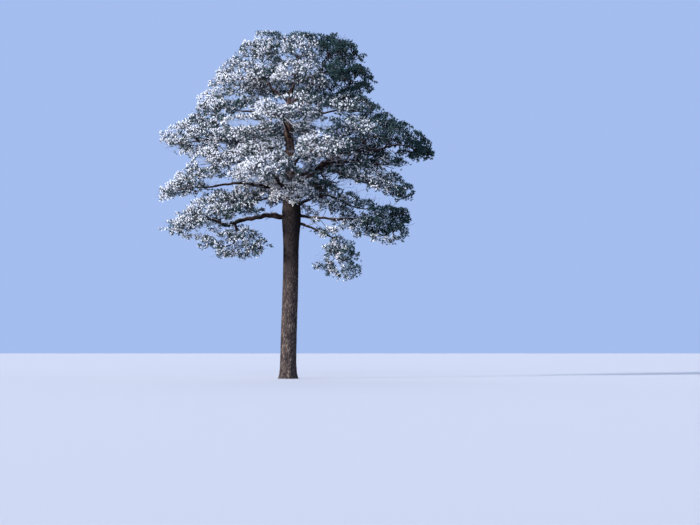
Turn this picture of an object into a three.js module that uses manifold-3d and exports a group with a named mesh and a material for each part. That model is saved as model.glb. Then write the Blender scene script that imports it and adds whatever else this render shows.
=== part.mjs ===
// An old Scots pine grown in the open: a tall clean bole, heavy crooked boughs, and a broad domed crown
// made of separate shelves of foliage. Each shelf is a mass of twigs that end in sprays of needles.
// Millimetres, +Z up. The origin is the middle of the flat cut under the trunk, at ground level.
import * as THREE from "three";
import { mergeVertices } from "three/addons/utils/BufferGeometryUtils.js";
import Module from "manifold-3d";

const wasm = await Module();
wasm.setup();

const UP = new THREE.Vector3(0, 0, 1);
const CLEARANCE = 0.3; // between a limb and whatever grows from it
const LIMB_MARGIN = 25; // twigs and sprays stay this far from a limb that isn't their own

// The trunk: its tip, the sideways and depthways sway at equal steps of height, and its girth
const TRUNK_TIP = 15700;
const TRUNK_SWAY = [0, 45, 115, 150, 165, 110, -30, 500];
const TRUNK_DEPTH_SWAY = [0, 20, 30, 0, -40, 10, 40, -40];
const BOLE_RADIUS = 400;
const CROTCH_HEIGHT = 8200; // where the lowest boughs leave
const CROTCH_RADIUS = 372;
const TRUNK_TIP_RADIUS = 42;
const TRUNK_TAPER = 0.9; // the power by which the trunk thins above the crotch
const COLLAR = { swell: 105, spread: 1050 }; // the swelling under the lowest boughs
const ROOT_FLARE = { swell: 85, fade: 300, lobes: 5, lobeDepth: 0.1, turn: 0.6 };
const TRUNK_MESH = { sides: 15, rings: 20, footward: 1.5 };

// Boughs. "from" is a height on the trunk or the name of the bough whose end it leaves; "tip" is where it
// enters its foliage; "arch" lifts its middle; "sway" bends it sideways, once each way; then its two radii.
const BOUGHS = [
  { name: "bough_left_lowest", from: 8050, tip: [-2850, -250, 7700],
    arch: 230, sway: 60, base: 150, end: 95 },
  { name: "bough_left_middle", from: 9150, tip: [-3650, -350, 9600],
    arch: 340, sway: -90, base: 140, end: 50 },
  { name: "bough_left_rising", from: 9900, tip: [-1650, -1050, 10550],
    arch: -60, sway: 70, base: 115, end: 65 },
  { name: "bough_left_upper", from: 11300, tip: [-3250, -250, 11900],
    arch: 110, sway: -110, base: 105, end: 52 },
  { name: "bough_left_high", from: 13000, tip: [-2250, 250, 13450],
    arch: 130, sway: 70, base: 80, end: 45 },
  { name: "bough_left_crest", from: 13900, tip: [-1250, -250, 15100],
    arch: -100, sway: 50, base: 78, end: 48 },
  { name: "bough_right_crest", from: 13700, tip: [1750, -150, 15300],
    arch: -90, sway: -60, base: 82, end: 52 },
  { name: "bough_right_high", from: 12600, tip: [2300, -250, 13400],
    arch: 70, sway: 80, base: 80, end: 45 },
  { name: "bough_right_main", from: 9400, tip: [1850, -350, 10800],
    arch: -70, sway: -50, base: 190, end: 135 },
  { name: "bough_right_shoulder", from: "bough_right_main", tip: [4250, -150, 11450], arch: 260, sway: 80,
    base: 100, end: 62 },
  { name: "bough_right_outer", from: "bough_right_main", tip: [4050, 250, 10800], arch: 120, sway: -60,
    base: 88, end: 50 },
  { name: "bough_right_droop", from: "bough_right_main", tip: [3450, -500, 9900], arch: -60, sway: 60,
    base: 72, end: 45 },
  { name: "bough_right_low", from: 8550, tip: [1750, -600, 9100], arch: 60, sway: -50, base: 100, end: 60 },
  { name: "bough_right_lower", from: 8250, tip: [3550, -50, 8000],
    arch: -110, sway: 110, base: 85, end: 45 },
  { name: "bough_right_lowest", from: 7950, tip: [2150, 150, 7100],
    arch: 20, sway: -50, base: 72, end: 42 },
  { name: "bough_front_low", from: 8900, tip: [-450, -2300, 9750],
    arch: 120, sway: 90, base: 120, end: 72 },
  { name: "bough_front_middle", from: 10400, tip: [850, -2100, 11150],
    arch: 90, sway: -80, base: 100, end: 62 },
  { name: "bough_front_high", from: 12000, tip: [-150, -1550, 12750],
    arch: 60, sway: 50, base: 82, end: 52 },
  { name: "bough_back_low", from: 8750, tip: [-500, 2450, 9350], arch: 150, sway: -90, base: 130, end: 75 },
  { name: "bough_back_right", from: 9950, tip: [1650, 2150, 10650],
    arch: 110, sway: 90, base: 110, end: 65 },
  { name: "bough_back_left", from: 11000, tip: [-1350, 2050, 11650],
    arch: 110, sway: 80, base: 96, end: 60 },
  { name: "bough_back_high", from: 12900, tip: [350, 1600, 14050],
    arch: -40, sway: -60, base: 80, end: 52 },
];
const BOUGH_MESH = { sides: 6, rings: 6 };
const BOUGH_THINNING = 0.8; // the power by which a bough thins along its length
const BOUGH_FOOT = { swell: 0.3, fade: 260 }; // the collar where it leaves the trunk
const FORK_SHARE = 0.94; // how far along a limb its side limbs and side stems leave

// Masses of foliage. "from" is a bough or a height on the trunk; "centre" and "reach" (along its own heading,
// across, and up) give the domed space it fills; "tilt" raises or droops its far end, in degrees; "side"
// marks a stem that leaves the side of its bough. "dense" masses have a core of inner twigs and needles, and
// "rime" is how much of a mass is white with frost.
const MASSES = [
  { name: "mass_left_hanging", from: "bough_left_lowest", side: true, centre: [-2650, -450, 6700],
    reach: [1700, 1300, 1050], heading: 190, tilt: 0, under: 0.85, dense: true, rime: 0.55 },
  { name: "mass_left_wing", from: "bough_left_lowest", centre: [-3800, -500, 8250],
    reach: [2300, 1700, 1100], tilt: -17, dense: true, rime: 0.8 },
  { name: "mass_left_outer", from: "bough_left_middle", centre: [-4850, -350, 9700],
    reach: [1700, 1400, 820], tilt: -20, dense: true, rime: 0.9 },
  { name: "mass_left_shelf", from: "bough_left_rising", centre: [-2750, -1450, 10800],
    reach: [1900, 1700, 1050], tilt: -6, dense: true, rime: 0.9 },
  { name: "mass_left_inner", from: "bough_left_rising", side: true, centre: [-1950, -1950, 12150],
    reach: [1400, 1500, 950], heading: 215, tilt: 0, dense: true, rime: 0.9 },
  { name: "mass_left_shoulder", from: "bough_left_upper", centre: [-4650, -250, 12050],
    reach: [1850, 1650, 1100], tilt: -16, dense: true, rime: 0.9 },
  { name: "mass_left_upper", from: "bough_left_high", centre: [-3150, 200, 13750],
    reach: [1450, 1500, 900], tilt: -12, dense: true, rime: 0.85 },
  { name: "mass_left_crest", from: "bough_left_crest", side: true, centre: [-2250, -350, 15100],
    reach: [1450, 1550, 1020], heading: 190, tilt: -8, dense: true, rime: 0.9 },
  { name: "mass_top_left", from: "bough_left_crest", centre: [-1200, -350, 16250],
    reach: [1200, 1350, 1150], heading: 175, tilt: 0, dense: true, rime: 0.85 },
  { name: "mass_top", from: 15700, centre: [650, -150, 16350],
    reach: [1350, 1400, 980], heading: 0, tilt: 0, dense: true, rime: 0.7 },
  { name: "mass_top_right", from: "bough_right_crest", side: true, centre: [2250, -50, 16450],
    reach: [1300, 1350, 900], heading: 5, tilt: -6, dense: true, rime: 0.15 },
  { name: "mass_right_crest", from: "bough_right_crest", centre: [2750, -100, 15100],
    reach: [1600, 1700, 1100], tilt: -8, dense: true, rime: 0.12 },
  { name: "mass_right_upper", from: "bough_right_high", centre: [3150, -200, 13500],
    reach: [1450, 1550, 750], tilt: -6, dense: true, rime: 0.4 },
  { name: "mass_right_shoulder", from: "bough_right_shoulder", side: true, centre: [3850, -900, 12150],
    reach: [1600, 1650, 900], heading: -10, tilt: 0, dense: true, rime: 0.55 },
  { name: "mass_right_outer", from: "bough_right_shoulder", centre: [5600, 0, 12000],
    reach: [2000, 1500, 880], tilt: -28, dense: true, rime: 0.15 },
  { name: "mass_right_ledge", from: "bough_right_outer", centre: [4550, 500, 10900],
    reach: [1600, 1450, 600], tilt: -4, dense: true, rime: 0.35 },
  { name: "mass_right_droop", from: "bough_right_droop", centre: [4450, -500, 9750],
    reach: [1950, 1500, 850], tilt: -16, dense: true, rime: 0.5 },
  { name: "mass_right_low_inner", from: "bough_right_low", side: true, centre: [1850, -1150, 9750],
    reach: [1150, 1200, 750], heading: -20, tilt: 0, dense: true, rime: 0.35 },
  { name: "mass_right_low", from: "bough_right_low", centre: [3150, -700, 8600],
    reach: [1500, 1300, 900], tilt: -8, dense: true, rime: 0.4 },
  { name: "mass_right_low_outer", from: "bough_right_lower", centre: [4850, 0, 7900],
    reach: [1350, 1400, 1200], tilt: -6, under: 0.85, dense: true, rime: 0.12 },
  { name: "mass_right_hanging", from: "bough_right_lowest", centre: [2500, 250, 6050],
    reach: [1150, 1200, 1250], heading: 10, tilt: 0, under: 0.9, dense: false, rime: 0.3 },
  { name: "mass_centre_low", from: 9350, centre: [250, -1350, 9250],
    reach: [1150, 1200, 950], heading: -90, tilt: 0, dense: true, rime: 0.9 },
  { name: "mass_front_left", from: "bough_front_low", centre: [-950, -3500, 10050],
    reach: [1650, 1600, 900], tilt: -6, dense: true, rime: 0.95 },
  { name: "mass_centre_left", from: 10700, centre: [-1050, -1900, 11050],
    reach: [1150, 1150, 850], heading: -120, tilt: 0, dense: true, rime: 0.95 },
  { name: "mass_right_inner", from: "bough_front_middle", side: true, centre: [1600, -1700, 12050],
    reach: [1300, 1300, 900], heading: -40, tilt: 0, dense: true, rime: 0.7 },
  { name: "mass_front_right", from: "bough_front_middle", centre: [1850, -3450, 11050],
    reach: [1550, 1600, 900], tilt: -6, dense: true, rime: 0.75 },
  { name: "mass_front_high", from: "bough_front_high", centre: [-450, -2900, 12900],
    reach: [1550, 1550, 900], tilt: -4, dense: true, rime: 0.95 },
  { name: "mass_centre_upper", from: 12900, centre: [750, -1250, 13450],
    reach: [1150, 1200, 800], heading: -60, tilt: 0, dense: true, rime: 0.8 },
  { name: "mass_centre_high", from: 14300, centre: [600, -1350, 14950],
    reach: [1300, 1300, 850], heading: -60, tilt: 0, dense: true, rime: 0.85 },
  { name: "mass_back_left_low", from: "bough_back_low", side: true, centre: [-1900, 2800, 9250],
    reach: [1700, 1600, 900], heading: 140, tilt: -8, dense: true, rime: 0.7 },
  { name: "mass_back_low", from: "bough_back_low", centre: [150, 3950, 9750],
    reach: [1650, 1700, 950], tilt: -10, dense: true, rime: 0.6 },
  { name: "mass_back_right_low", from: "bough_back_right", side: true, centre: [2000, 3500, 10350],
    reach: [1550, 1550, 900], heading: 60, tilt: -6, dense: true, rime: 0.4 },
  { name: "mass_back_right", from: "bough_back_right", centre: [3300, 2650, 11500],
    reach: [1800, 1650, 950], tilt: -6, dense: true, rime: 0.25 },
  { name: "mass_back_left", from: "bough_back_left", centre: [-2950, 2450, 11800],
    reach: [1950, 1700, 1000], tilt: -8, dense: true, rime: 0.75 },
  { name: "mass_back_middle", from: "bough_back_left", side: true, centre: [-250, 3550, 12500],
    reach: [1700, 1700, 1000], heading: 80, tilt: -6, dense: true, rime: 0.6 },
  { name: "mass_back_crown_right", from: "bough_back_high", centre: [1750, 2200, 14450],
    reach: [1650, 1600, 1050], tilt: -6, dense: true, rime: 0.3 },
  { name: "mass_back_crown_left", from: "bough_back_high", side: true, centre: [-1050, 2000, 14900],
    reach: [1650, 1600, 1050], heading: 150, tilt: -4, dense: true, rime: 0.6 },
];

// How a mass is filled
const UNDERSIDE = 0.6; // a shelf hangs this share of its rise below its middle, unless its "under" says more
// A mass's stem: how far on it runs before it bends, where along and how low its two inner points lie, as
// shares of the reach, and its girth
const STEM = { onward: 0.3, end: 0.5, low: 0.3, lift: 0.15, turn: 0.3, sides: 4, rings: 4 };
const STEM_GIRTH = { share: 0.8, most: 62, thin: 0.45 };
const THRIFT = 0.55; // how dear the way back to the stem's foot is, beside the reach to a new twig's end
const TWIGS = { count: 6, inner: 0.42, open: 0.6, lowest: -0.4, along: 0.18, sag: 0.08 };
const TWIG_SHAPE = { radius: 26, thin: 0.65, rings: 2, sides: 3 };
const SPRAYS = { count: 30, apart: 760, lowest: -0.45, width: 0.9, widest: 780, thickness: 0.07, sunk: 35 };
// A spray's outline, along its length and to the side
const SPRAY_OUTLINE = [[0, 0], [0.88, 1], [0.8, 0.42], [1, 0], [0.8, -0.42], [0.88, -1]];
const SPRAY_TIP = 3; // the outline's corner at its tip
const SPRAY_HEART = 0.62; // where along its length a spray is thickest
const SPACE_LIMIT = 1.12; // as a share of the mass's reach
const NEIGHBOUR_MARGIN = 1.07; // a point is in the mass whose share is least, by this factor
const CORE = { share: 0.78, lump: 0.17, step: 0.94 };
const OUTERMOST = [[1, 0, 0], [0, 0, 1]]; // the first sprays point to the far end and straight up
const HEIGHT_STEP = 0.5698402909980532; // the two irrational steps of an even, endless spread of directions
const TURN_STEP = 0.7548776662466927;

// A number from 0 to 1 that looks random and is always the same for the same seed and index.
function chance(seed, index) {
  const wave = Math.sin(seed * 12.9898 + index * 78.233) * 43758.5453;
  return wave - Math.floor(wave);
}

const vector = (xyz) => new THREE.Vector3(...xyz);
const radians = (degrees) => (degrees * Math.PI) / 180;
const fraction = (value) => value - Math.floor(value);

const swayStep = TRUNK_TIP / (TRUNK_SWAY.length - 1);
const trunkAxis = new THREE.CatmullRomCurve3(
  TRUNK_SWAY.map((x, i) => new THREE.Vector3(x, TRUNK_DEPTH_SWAY[i], i * swayStep)),
  false,
  "catmullrom",
);

// The trunk's radius at a height, before the root lobes: the bole, the taper above the crotch, the collar
// and the flare.
function trunkRadius(height) {
  const above = Math.max(0, height - CROTCH_HEIGHT) / (TRUNK_TIP - CROTCH_HEIGHT);
  const below = Math.min(1, height / CROTCH_HEIGHT);
  const shaft = TRUNK_TIP_RADIUS + (CROTCH_RADIUS - TRUNK_TIP_RADIUS) * (1 - above) ** TRUNK_TAPER;
  const bole = (BOLE_RADIUS - CROTCH_RADIUS) * (1 - below);
  const collar = COLLAR.swell * Math.exp(-(((height - CROTCH_HEIGHT) / COLLAR.spread) ** 2));
  return shaft + bole + collar + ROOT_FLARE.swell * Math.exp(-height / ROOT_FLARE.fade);
}

// A bough's own line: a straight reach from its foot to its tip, lifted by its arch and swayed once each way.
class BoughPath extends THREE.Curve {
  constructor(foot, tip, arch, sway) {
    super();
    this.foot = foot;
    this.reach = tip.clone().sub(foot);
    this.arch = arch;
    this.side = new THREE.Vector3().crossVectors(UP, this.reach).normalize().multiplyScalar(sway);
  }
  getPoint(t) {
    return this.foot
      .clone()
      .addScaledVector(this.reach, t)
      .addScaledVector(UP, this.arch * 4 * t * (1 - t))
      .addScaledVector(this.side, Math.sin(2 * Math.PI * t));
  }
}

// The solid of a closed geometry, with its shared vertices merged.
function solidOf(geometry) {
  const bare = geometry.clone();
  bare.deleteAttribute("normal");
  bare.deleteAttribute("uv");
  const merged = mergeVertices(bare, 1e-3);
  return new wasm.Manifold(
    new wasm.Mesh({
      numProp: 3,
      vertProperties: merged.attributes.position.array,
      triVerts: new Uint32Array(merged.index.array),
    }),
  );
}

// A cylinder bent along a path: each ring is turned square to the path and scaled to radiusAt(t). It can be
// made larger all round, and at both ends, by "grown".
function limbGeometry(path, radiusAt, sides, rings, grown = 0) {
  const geometry = new THREE.CylinderGeometry(1, 1, 1, sides, rings);
  const frames = path.computeFrenetFrames(rings);
  const position = geometry.attributes.position;
  for (let i = 0; i < position.count; i += 1) {
    const t = position.getY(i) + 0.5;
    const ring = Math.round(t * rings);
    const radius = radiusAt(t) + grown;
    const beyond = t === 0 ? -grown : t === 1 ? grown : 0;
    const placed = path
      .getPointAt(t)
      .addScaledVector(frames.tangents[ring], beyond)
      .addScaledVector(frames.normals[ring], position.getX(i) * radius)
      .addScaledVector(frames.binormals[ring], -position.getZ(i) * radius);
    position.setXYZ(i, placed.x, placed.y, placed.z);
  }
  return geometry;
}

// The trunk: level rings on its swaying axis, closer together at the flared foot.
function trunkGeometry(grown) {
  const { sides, rings, footward } = TRUNK_MESH;
  const geometry = new THREE.CylinderGeometry(1, 1, 1, sides, rings);
  const position = geometry.attributes.position;
  for (let i = 0; i < position.count; i += 1) {
    const height = TRUNK_TIP * (position.getY(i) + 0.5) ** footward;
    const turn = Math.atan2(position.getX(i), position.getZ(i));
    const lobe = ROOT_FLARE.lobeDepth * Math.exp(-height / ROOT_FLARE.fade);
    const lobed = 1 + lobe * Math.cos(ROOT_FLARE.lobes * turn + ROOT_FLARE.turn);
    const girth = trunkRadius(height) * lobed + grown;
    const axis = trunkAxis.getPoint(height / TRUNK_TIP);
    const top = height === TRUNK_TIP ? grown : 0;
    position.setXYZ(i, axis.x + position.getZ(i) * girth, axis.y + position.getX(i) * girth, height + top);
  }
  return geometry;
}

// Limbs in the order they are made: each keeps its path, its radius, its solid and a slightly grown cutter.
const SAMPLES = 24; // steps along a limb where its distance from a twig is measured
const limbs = new Map();

function addLimb(name, path, radiusAt, geometryGrown) {
  const samples = path.getPoints(SAMPLES);
  const radii = samples.map((_, i) => radiusAt(i / SAMPLES));
  const cutter = solidOf(geometryGrown(CLEARANCE));
  limbs.set(name, { name, path, radiusAt, samples, radii, cutter, whole: solidOf(geometryGrown(0)) });
  return limbs.get(name);
}

addLimb(
  "trunk",
  trunkAxis,
  (t) => trunkRadius(t * TRUNK_TIP),
  (grown) => trunkGeometry(grown),
);

// Where something leaves a limb: on the trunk at a height, or along a bough at a share of its length.
function leavingPoint(from, sharePast) {
  return typeof from === "number"
    ? trunkAxis.getPoint(from / TRUNK_TIP)
    : limbs.get(from).path.getPointAt(sharePast);
}

const boughSeat = (bough) => leavingPoint(bough.from, FORK_SHARE);

for (const bough of BOUGHS) {
  const path = new BoughPath(boughSeat(bough), vector(bough.tip), bough.arch, bough.sway);
  const length = path.getLength();
  const radiusAt = (t) =>
    (bough.base + (bough.end - bough.base) * t ** BOUGH_THINNING) *
    (1 + BOUGH_FOOT.swell * Math.exp((-t * length) / BOUGH_FOOT.fade));
  addLimb(bough.name, path, radiusAt, (grown) =>
    limbGeometry(path, radiusAt, BOUGH_MESH.sides, BOUGH_MESH.rings, grown),
  );
}

// The largest piece of a solid, without the scraps that a cut can leave.
function largest(solid) {
  return solid.decompose().sort((a, b) => b.volume() - a.volume())[0];
}

const overlaps = (a, b) => a.intersect(b).volume() > 0;

// A solid cut clear of every limb given that it runs into.
function cutClear(solid, others) {
  let left = solid;
  for (const other of others) {
    if (overlaps(left, other.cutter)) left = left.subtract(other.cutter);
  }
  return left;
}

// The axes and the reach of a mass: u along its heading, v across it, w up.
for (const mass of MASSES) {
  const seat = leavingPoint(mass.from, mass.side ? FORK_SHARE : 1);
  const centre = vector(mass.centre);
  const away = centre.clone().sub(seat);
  const heading = mass.heading === undefined ? Math.atan2(away.y, away.x) : radians(mass.heading);
  const tilt = radians(mass.tilt);
  mass.middle = centre;
  mass.under ??= UNDERSIDE;
  mass.seat = seat;
  const level = new THREE.Vector3(Math.cos(heading), Math.sin(heading), 0);
  mass.u = level.clone().multiplyScalar(Math.cos(tilt)).addScaledVector(UP, Math.sin(tilt));
  mass.v = new THREE.Vector3(-level.y, level.x, 0);
  mass.w = new THREE.Vector3().crossVectors(mass.u, mass.v);
}

// A point of a mass from its shares of the reach along u, v and w.
function pointIn(mass, along, across, up) {
  const drop = up < 0 ? mass.under : 1;
  return mass.middle
    .clone()
    .addScaledVector(mass.u, along * mass.reach[0])
    .addScaledVector(mass.v, across * mass.reach[1])
    .addScaledVector(mass.w, up * drop * mass.reach[2]);
}

// How far out of a mass's middle a point is, as a share of its reach: 1 on the surface of its space.
function outwardShare(mass, point) {
  const from = point.clone().sub(mass.middle);
  const up = from.dot(mass.w);
  return Math.hypot(
    from.dot(mass.u) / mass.reach[0],
    from.dot(mass.v) / mass.reach[1],
    up / (mass.reach[2] * (up < 0 ? mass.under : 1)),
  );
}

// Masses that touch share the ground between them: a point belongs to the one whose share is least.
function inOwnSpace(mass, point) {
  const own = outwardShare(mass, point);
  return (
    own < SPACE_LIMIT &&
    MASSES.every((other) => other === mass || own * NEIGHBOUR_MARGIN < outwardShare(other, point))
  );
}

// Stems: each leaves its limb, runs under the middle of its mass, and ends short of the far side. Those that
// carry on from the tip of a limb come before those that leave its side.
const isTipMass = (mass) => mass.from === TRUNK_TIP || (!mass.side && typeof mass.from !== "number");
const stems = new Map();
for (const mass of [...MASSES.filter(isTipMass), ...MASSES.filter((mass) => !isTipMass(mass))]) {
  const source = typeof mass.from === "number" ? limbs.get("trunk") : limbs.get(mass.from);
  const end = pointIn(mass, STEM.end, 0, -STEM.lift);
  const under = pointIn(mass, -STEM.end, 0, -STEM.low);
  const atTip = isTipMass(mass);
  const onward = atTip ? source.path.getTangent(1) : under.clone().sub(mass.seat).normalize();
  const start = atTip ? mass.seat.clone().addScaledVector(onward, CLEARANCE) : mass.seat;
  const bend = start.clone().addScaledVector(onward, STEM.onward * start.distanceTo(end));
  const path = new THREE.CubicBezierCurve3(start, bend, under.lerp(end, STEM.turn), end);
  const sideFoot = Math.min(STEM_GIRTH.most, STEM_GIRTH.share * source.radiusAt(FORK_SHARE));
  const foot = atTip ? source.radiusAt(1) : sideFoot;
  const radiusAt = (t) => foot * (1 - (1 - STEM_GIRTH.thin) * t);
  const samples = path.getPoints(SAMPLES);
  stems.set(mass, {
    name: `${mass.name} stem`,
    path,
    radiusAt,
    samples,
    radii: samples.map((_, i) => radiusAt(i / SAMPLES)),
    cutter: solidOf(limbGeometry(path, radiusAt, STEM.sides, STEM.rings, CLEARANCE)),
    whole: solidOf(limbGeometry(path, radiusAt, STEM.sides, STEM.rings)),
  });
}

// The least distance from a point to the bark of any limb or any other mass's stem.
function distanceToLimbs(mass, point) {
  let least = Infinity;
  const closest = new THREE.Vector3();
  const span = new THREE.Line3();
  for (const limb of [...limbs.values(), ...stems.values()]) {
    if (limb === stems.get(mass)) continue;
    for (let i = 1; i < limb.samples.length; i += 1) {
      span.set(limb.samples[i - 1], limb.samples[i]);
      const along = span.closestPointToPointParameter(point, true);
      span.at(along, closest);
      const radius = limb.radii[i - 1] + (limb.radii[i] - limb.radii[i - 1]) * along;
      least = Math.min(least, closest.distanceTo(point) - radius);
    }
  }
  return least;
}

const isFree = (mass, points) =>
  points.every((point) => inOwnSpace(mass, point) && distanceToLimbs(mass, point) > LIMB_MARGIN);

// Direction number i of an even spread over a dome, as shares along, across and up.
function direction(seed, i, lowest) {
  const up = lowest + (1 - lowest) * fraction(0.5 + chance(seed, 0) + i * HEIGHT_STEP);
  const turn = 2 * Math.PI * fraction(0.5 + chance(seed, 1) + i * TURN_STEP);
  const flat = Math.sqrt(1 - up * up);
  return [flat * Math.cos(turn), flat * Math.sin(turn), up];
}

// The twigs and sprays of a mass. Each in turn reaches its end from the point grown so far where its own
// length, plus a share of the way back to the stem's foot, is least. One that finds no room is left out.
function grow(mass, seed) {
  const stem = stems.get(mass);
  const length = stem.path.getLength();
  const grown = [];
  const lengthen = (path, reach, back, rings) => {
    for (let k = 1; k <= rings; k += 1) {
      const t = k / rings;
      grown.push({ at: path.getPointAt(t), back: back + t * reach, onward: path.getTangentAt(t) });
    }
  };
  lengthen(stem.path, length, 0, STEM.rings);
  const parentOf = (end) => {
    const cost = (point) => point.at.distanceTo(end) + THRIFT * point.back;
    return grown.reduce((best, point) => (cost(point) < cost(best) ? point : best));
  };
  const twigs = [];
  for (let i = 0; i < TWIGS.count; i += 1) {
    const share = mass.dense ? TWIGS.inner : TWIGS.open;
    const end = pointIn(mass, ...direction(seed, i, TWIGS.lowest).map((part) => part * share));
    const parent = parentOf(end);
    const reach = parent.at.distanceTo(end);
    const bend = parent.at
      .clone()
      .lerp(end, 0.5)
      .addScaledVector(parent.onward, TWIGS.along * reach)
      .addScaledVector(UP, -TWIGS.sag * reach);
    const path = new THREE.QuadraticBezierCurve3(parent.at, bend, end);
    if (isFree(mass, path.getPoints(4).slice(1))) twigs.push({ path, reach, back: parent.back });
  }
  for (const twig of twigs) lengthen(twig.path, twig.reach, twig.back, TWIG_SHAPE.rings);
  const sprays = [];
  for (let i = 0; i < SPRAYS.count; i += 1) {
    const aim = i < OUTERMOST.length ? OUTERMOST[i] : direction(seed + 1, i, SPRAYS.lowest);
    const tip = pointIn(mass, ...aim);
    const points = sprayPoints(parentOf(tip).at, tip, 2 * Math.PI * chance(seed + 3, i));
    const apart = sprays.every((other) => other[SPRAY_TIP].distanceTo(tip) > SPRAYS.apart);
    if (apart && isFree(mass, points.slice(1))) sprays.push(points);
  }
  return { twigs, sprays };
}

// The corners of a spray: the outline of a blade with three teeth, then the middle of its front and its back.
function sprayPoints(from, tip, roll) {
  const heading = tip.clone().sub(from).normalize();
  const foot = from.clone().addScaledVector(heading, -SPRAYS.sunk);
  const length = foot.distanceTo(tip);
  const across = new THREE.Vector3().crossVectors(heading, UP).normalize().applyAxisAngle(heading, roll);
  const through = new THREE.Vector3().crossVectors(heading, across);
  const half = Math.min(SPRAYS.widest, SPRAYS.width * length) / 2;
  const place = (along, side, depth) =>
    foot
      .clone()
      .addScaledVector(heading, along * length)
      .addScaledVector(across, side * half)
      .addScaledVector(through, depth * length * SPRAYS.thickness * 0.5);
  const outline = SPRAY_OUTLINE.map(([along, side]) => place(along, side, 0));
  return [...outline, place(SPRAY_HEART, 0, 1), place(SPRAY_HEART, 0, -1)];
}

function sprayGeometry(points) {
  const corners = SPRAY_OUTLINE.length;
  const faces = SPRAY_OUTLINE.flatMap((_, i) => {
    const next = (i + 1) % corners;
    return [i, corners, next, next, corners + 1, i];
  });
  const geometry = new THREE.BufferGeometry();
  const places = points.flatMap((point) => point.toArray());
  geometry.setAttribute("position", new THREE.Float32BufferAttribute(places, 3));
  geometry.setIndex(faces);
  return geometry;
}

// The core of a dense mass: a lumpy dome well inside its space, drawn in where a neighbour is near.
function coreGeometry(mass, seed, size) {
  const geometry = new THREE.DodecahedronGeometry(1);
  geometry.deleteAttribute("normal");
  geometry.deleteAttribute("uv");
  const ball = mergeVertices(geometry, 1e-3);
  const position = ball.attributes.position;
  for (let i = 0; i < position.count; i += 1) {
    const aim = new THREE.Vector3().fromBufferAttribute(position, i);
    aim.multiplyScalar(size * (1 + CORE.lump * (2 * chance(seed + 7, i) - 1)));
    while (!inOwnSpace(mass, pointIn(mass, ...aim))) aim.multiplyScalar(CORE.step);
    position.setXYZ(i, ...pointIn(mass, ...aim));
  }
  return ball;
}

// A mass: its stem, its core if it is dense, and its twigs and sprays, fused into one. The core is made
// smaller, and a twig or spray is left out, where it would run into a mass made before.
const foliageMade = [];
function massSolid(mass, seed) {
  const own = stems.get(mass);
  const all = [...stems.values()];
  const wood = [...limbs.values()];
  const stem = largest(cutClear(own.whole, [...wood, ...all.slice(0, all.indexOf(own))]));
  const { twigs, sprays } = grow(mass, seed);
  const girth = (t) => TWIG_SHAPE.radius * (1 - (1 - TWIG_SHAPE.thin) * t);
  const isClear = (piece) => !foliageMade.some((other) => overlaps(piece, other));
  const pieces = [
    ...twigs.map((twig) => limbGeometry(twig.path, girth, TWIG_SHAPE.sides, TWIG_SHAPE.rings)),
    ...sprays.map(sprayGeometry),
  ]
    .map(solidOf)
    .filter(isClear);
  if (mass.dense) {
    let size = CORE.share;
    let core = solidOf(coreGeometry(mass, seed, size));
    while (!isClear(core)) {
      size *= CORE.step;
      core = solidOf(coreGeometry(mass, seed, size));
    }
    pieces.push(core);
  }
  const foliage = pieces.reduce((joined, piece) => joined.add(piece));
  const whole = largest(stem.add(cutClear(foliage, [...wood, ...all.filter((other) => other !== own)])));
  foliageMade.push(whole);
  return whole;
}

function geometryOf(solid) {
  const { numProp, vertProperties, triVerts } = solid.getMesh();
  const points = new Float32Array((vertProperties.length / numProp) * 3);
  for (let i = 0; i < points.length / 3; i += 1) {
    points.set(vertProperties.subarray(i * numProp, i * numProp + 3), i * 3);
  }
  const geometry = new THREE.BufferGeometry();
  geometry.setAttribute("position", new THREE.BufferAttribute(points, 3));
  geometry.setIndex(new THREE.BufferAttribute(triVerts, 1));
  geometry.computeVertexNormals();
  return geometry;
}

const platedBark = new THREE.MeshStandardMaterial({ color: 0x4f4849, roughness: 0.95, metalness: 0 });
const flakyBark = new THREE.MeshStandardMaterial({ color: 0x4a3230, roughness: 0.9, metalness: 0 });
const rimedNeedles = new THREE.MeshStandardMaterial({ color: 0xb9bfcc, roughness: 0.85, metalness: 0 });
const greenNeedles = new THREE.MeshStandardMaterial({ color: 0x2c3f3a, roughness: 0.8, metalness: 0 });

const tree = new THREE.Group();

function addMesh(name, solid, material) {
  const mesh = new THREE.Mesh(geometryOf(solid), material);
  mesh.name = name;
  tree.add(mesh);
}

const made = [];
for (const limb of limbs.values()) {
  const solid = largest(cutClear(limb.whole, made));
  addMesh(limb.name, solid, limb.name === "trunk" ? platedBark : flakyBark);
  made.push(limb);
}
MASSES.forEach((mass, i) => {
  addMesh(mass.name, massSolid(mass, i + 1), mass.rime > 0.45 ? rimedNeedles : greenNeedles);
});

export default tree;
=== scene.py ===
# %% [markdown]
# A frosted Scots pine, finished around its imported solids. The real tree is one tall bole, a couple of dozen
# crooked boughs, and shelves of foliage that are nothing but twigs, shoots and needles white with rime. In
# Blender such a tree could be particles, instances or sculpted shells, but only plain meshes are kept by an
# export, so here everything is worked out with numpy as whole arrays and joined into a few dozen meshes.
# The frame comes first: it gives the place and the size of every limb and mass, and nothing is moved later.

# %% Load the frame
import math
from collections import namedtuple

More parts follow.
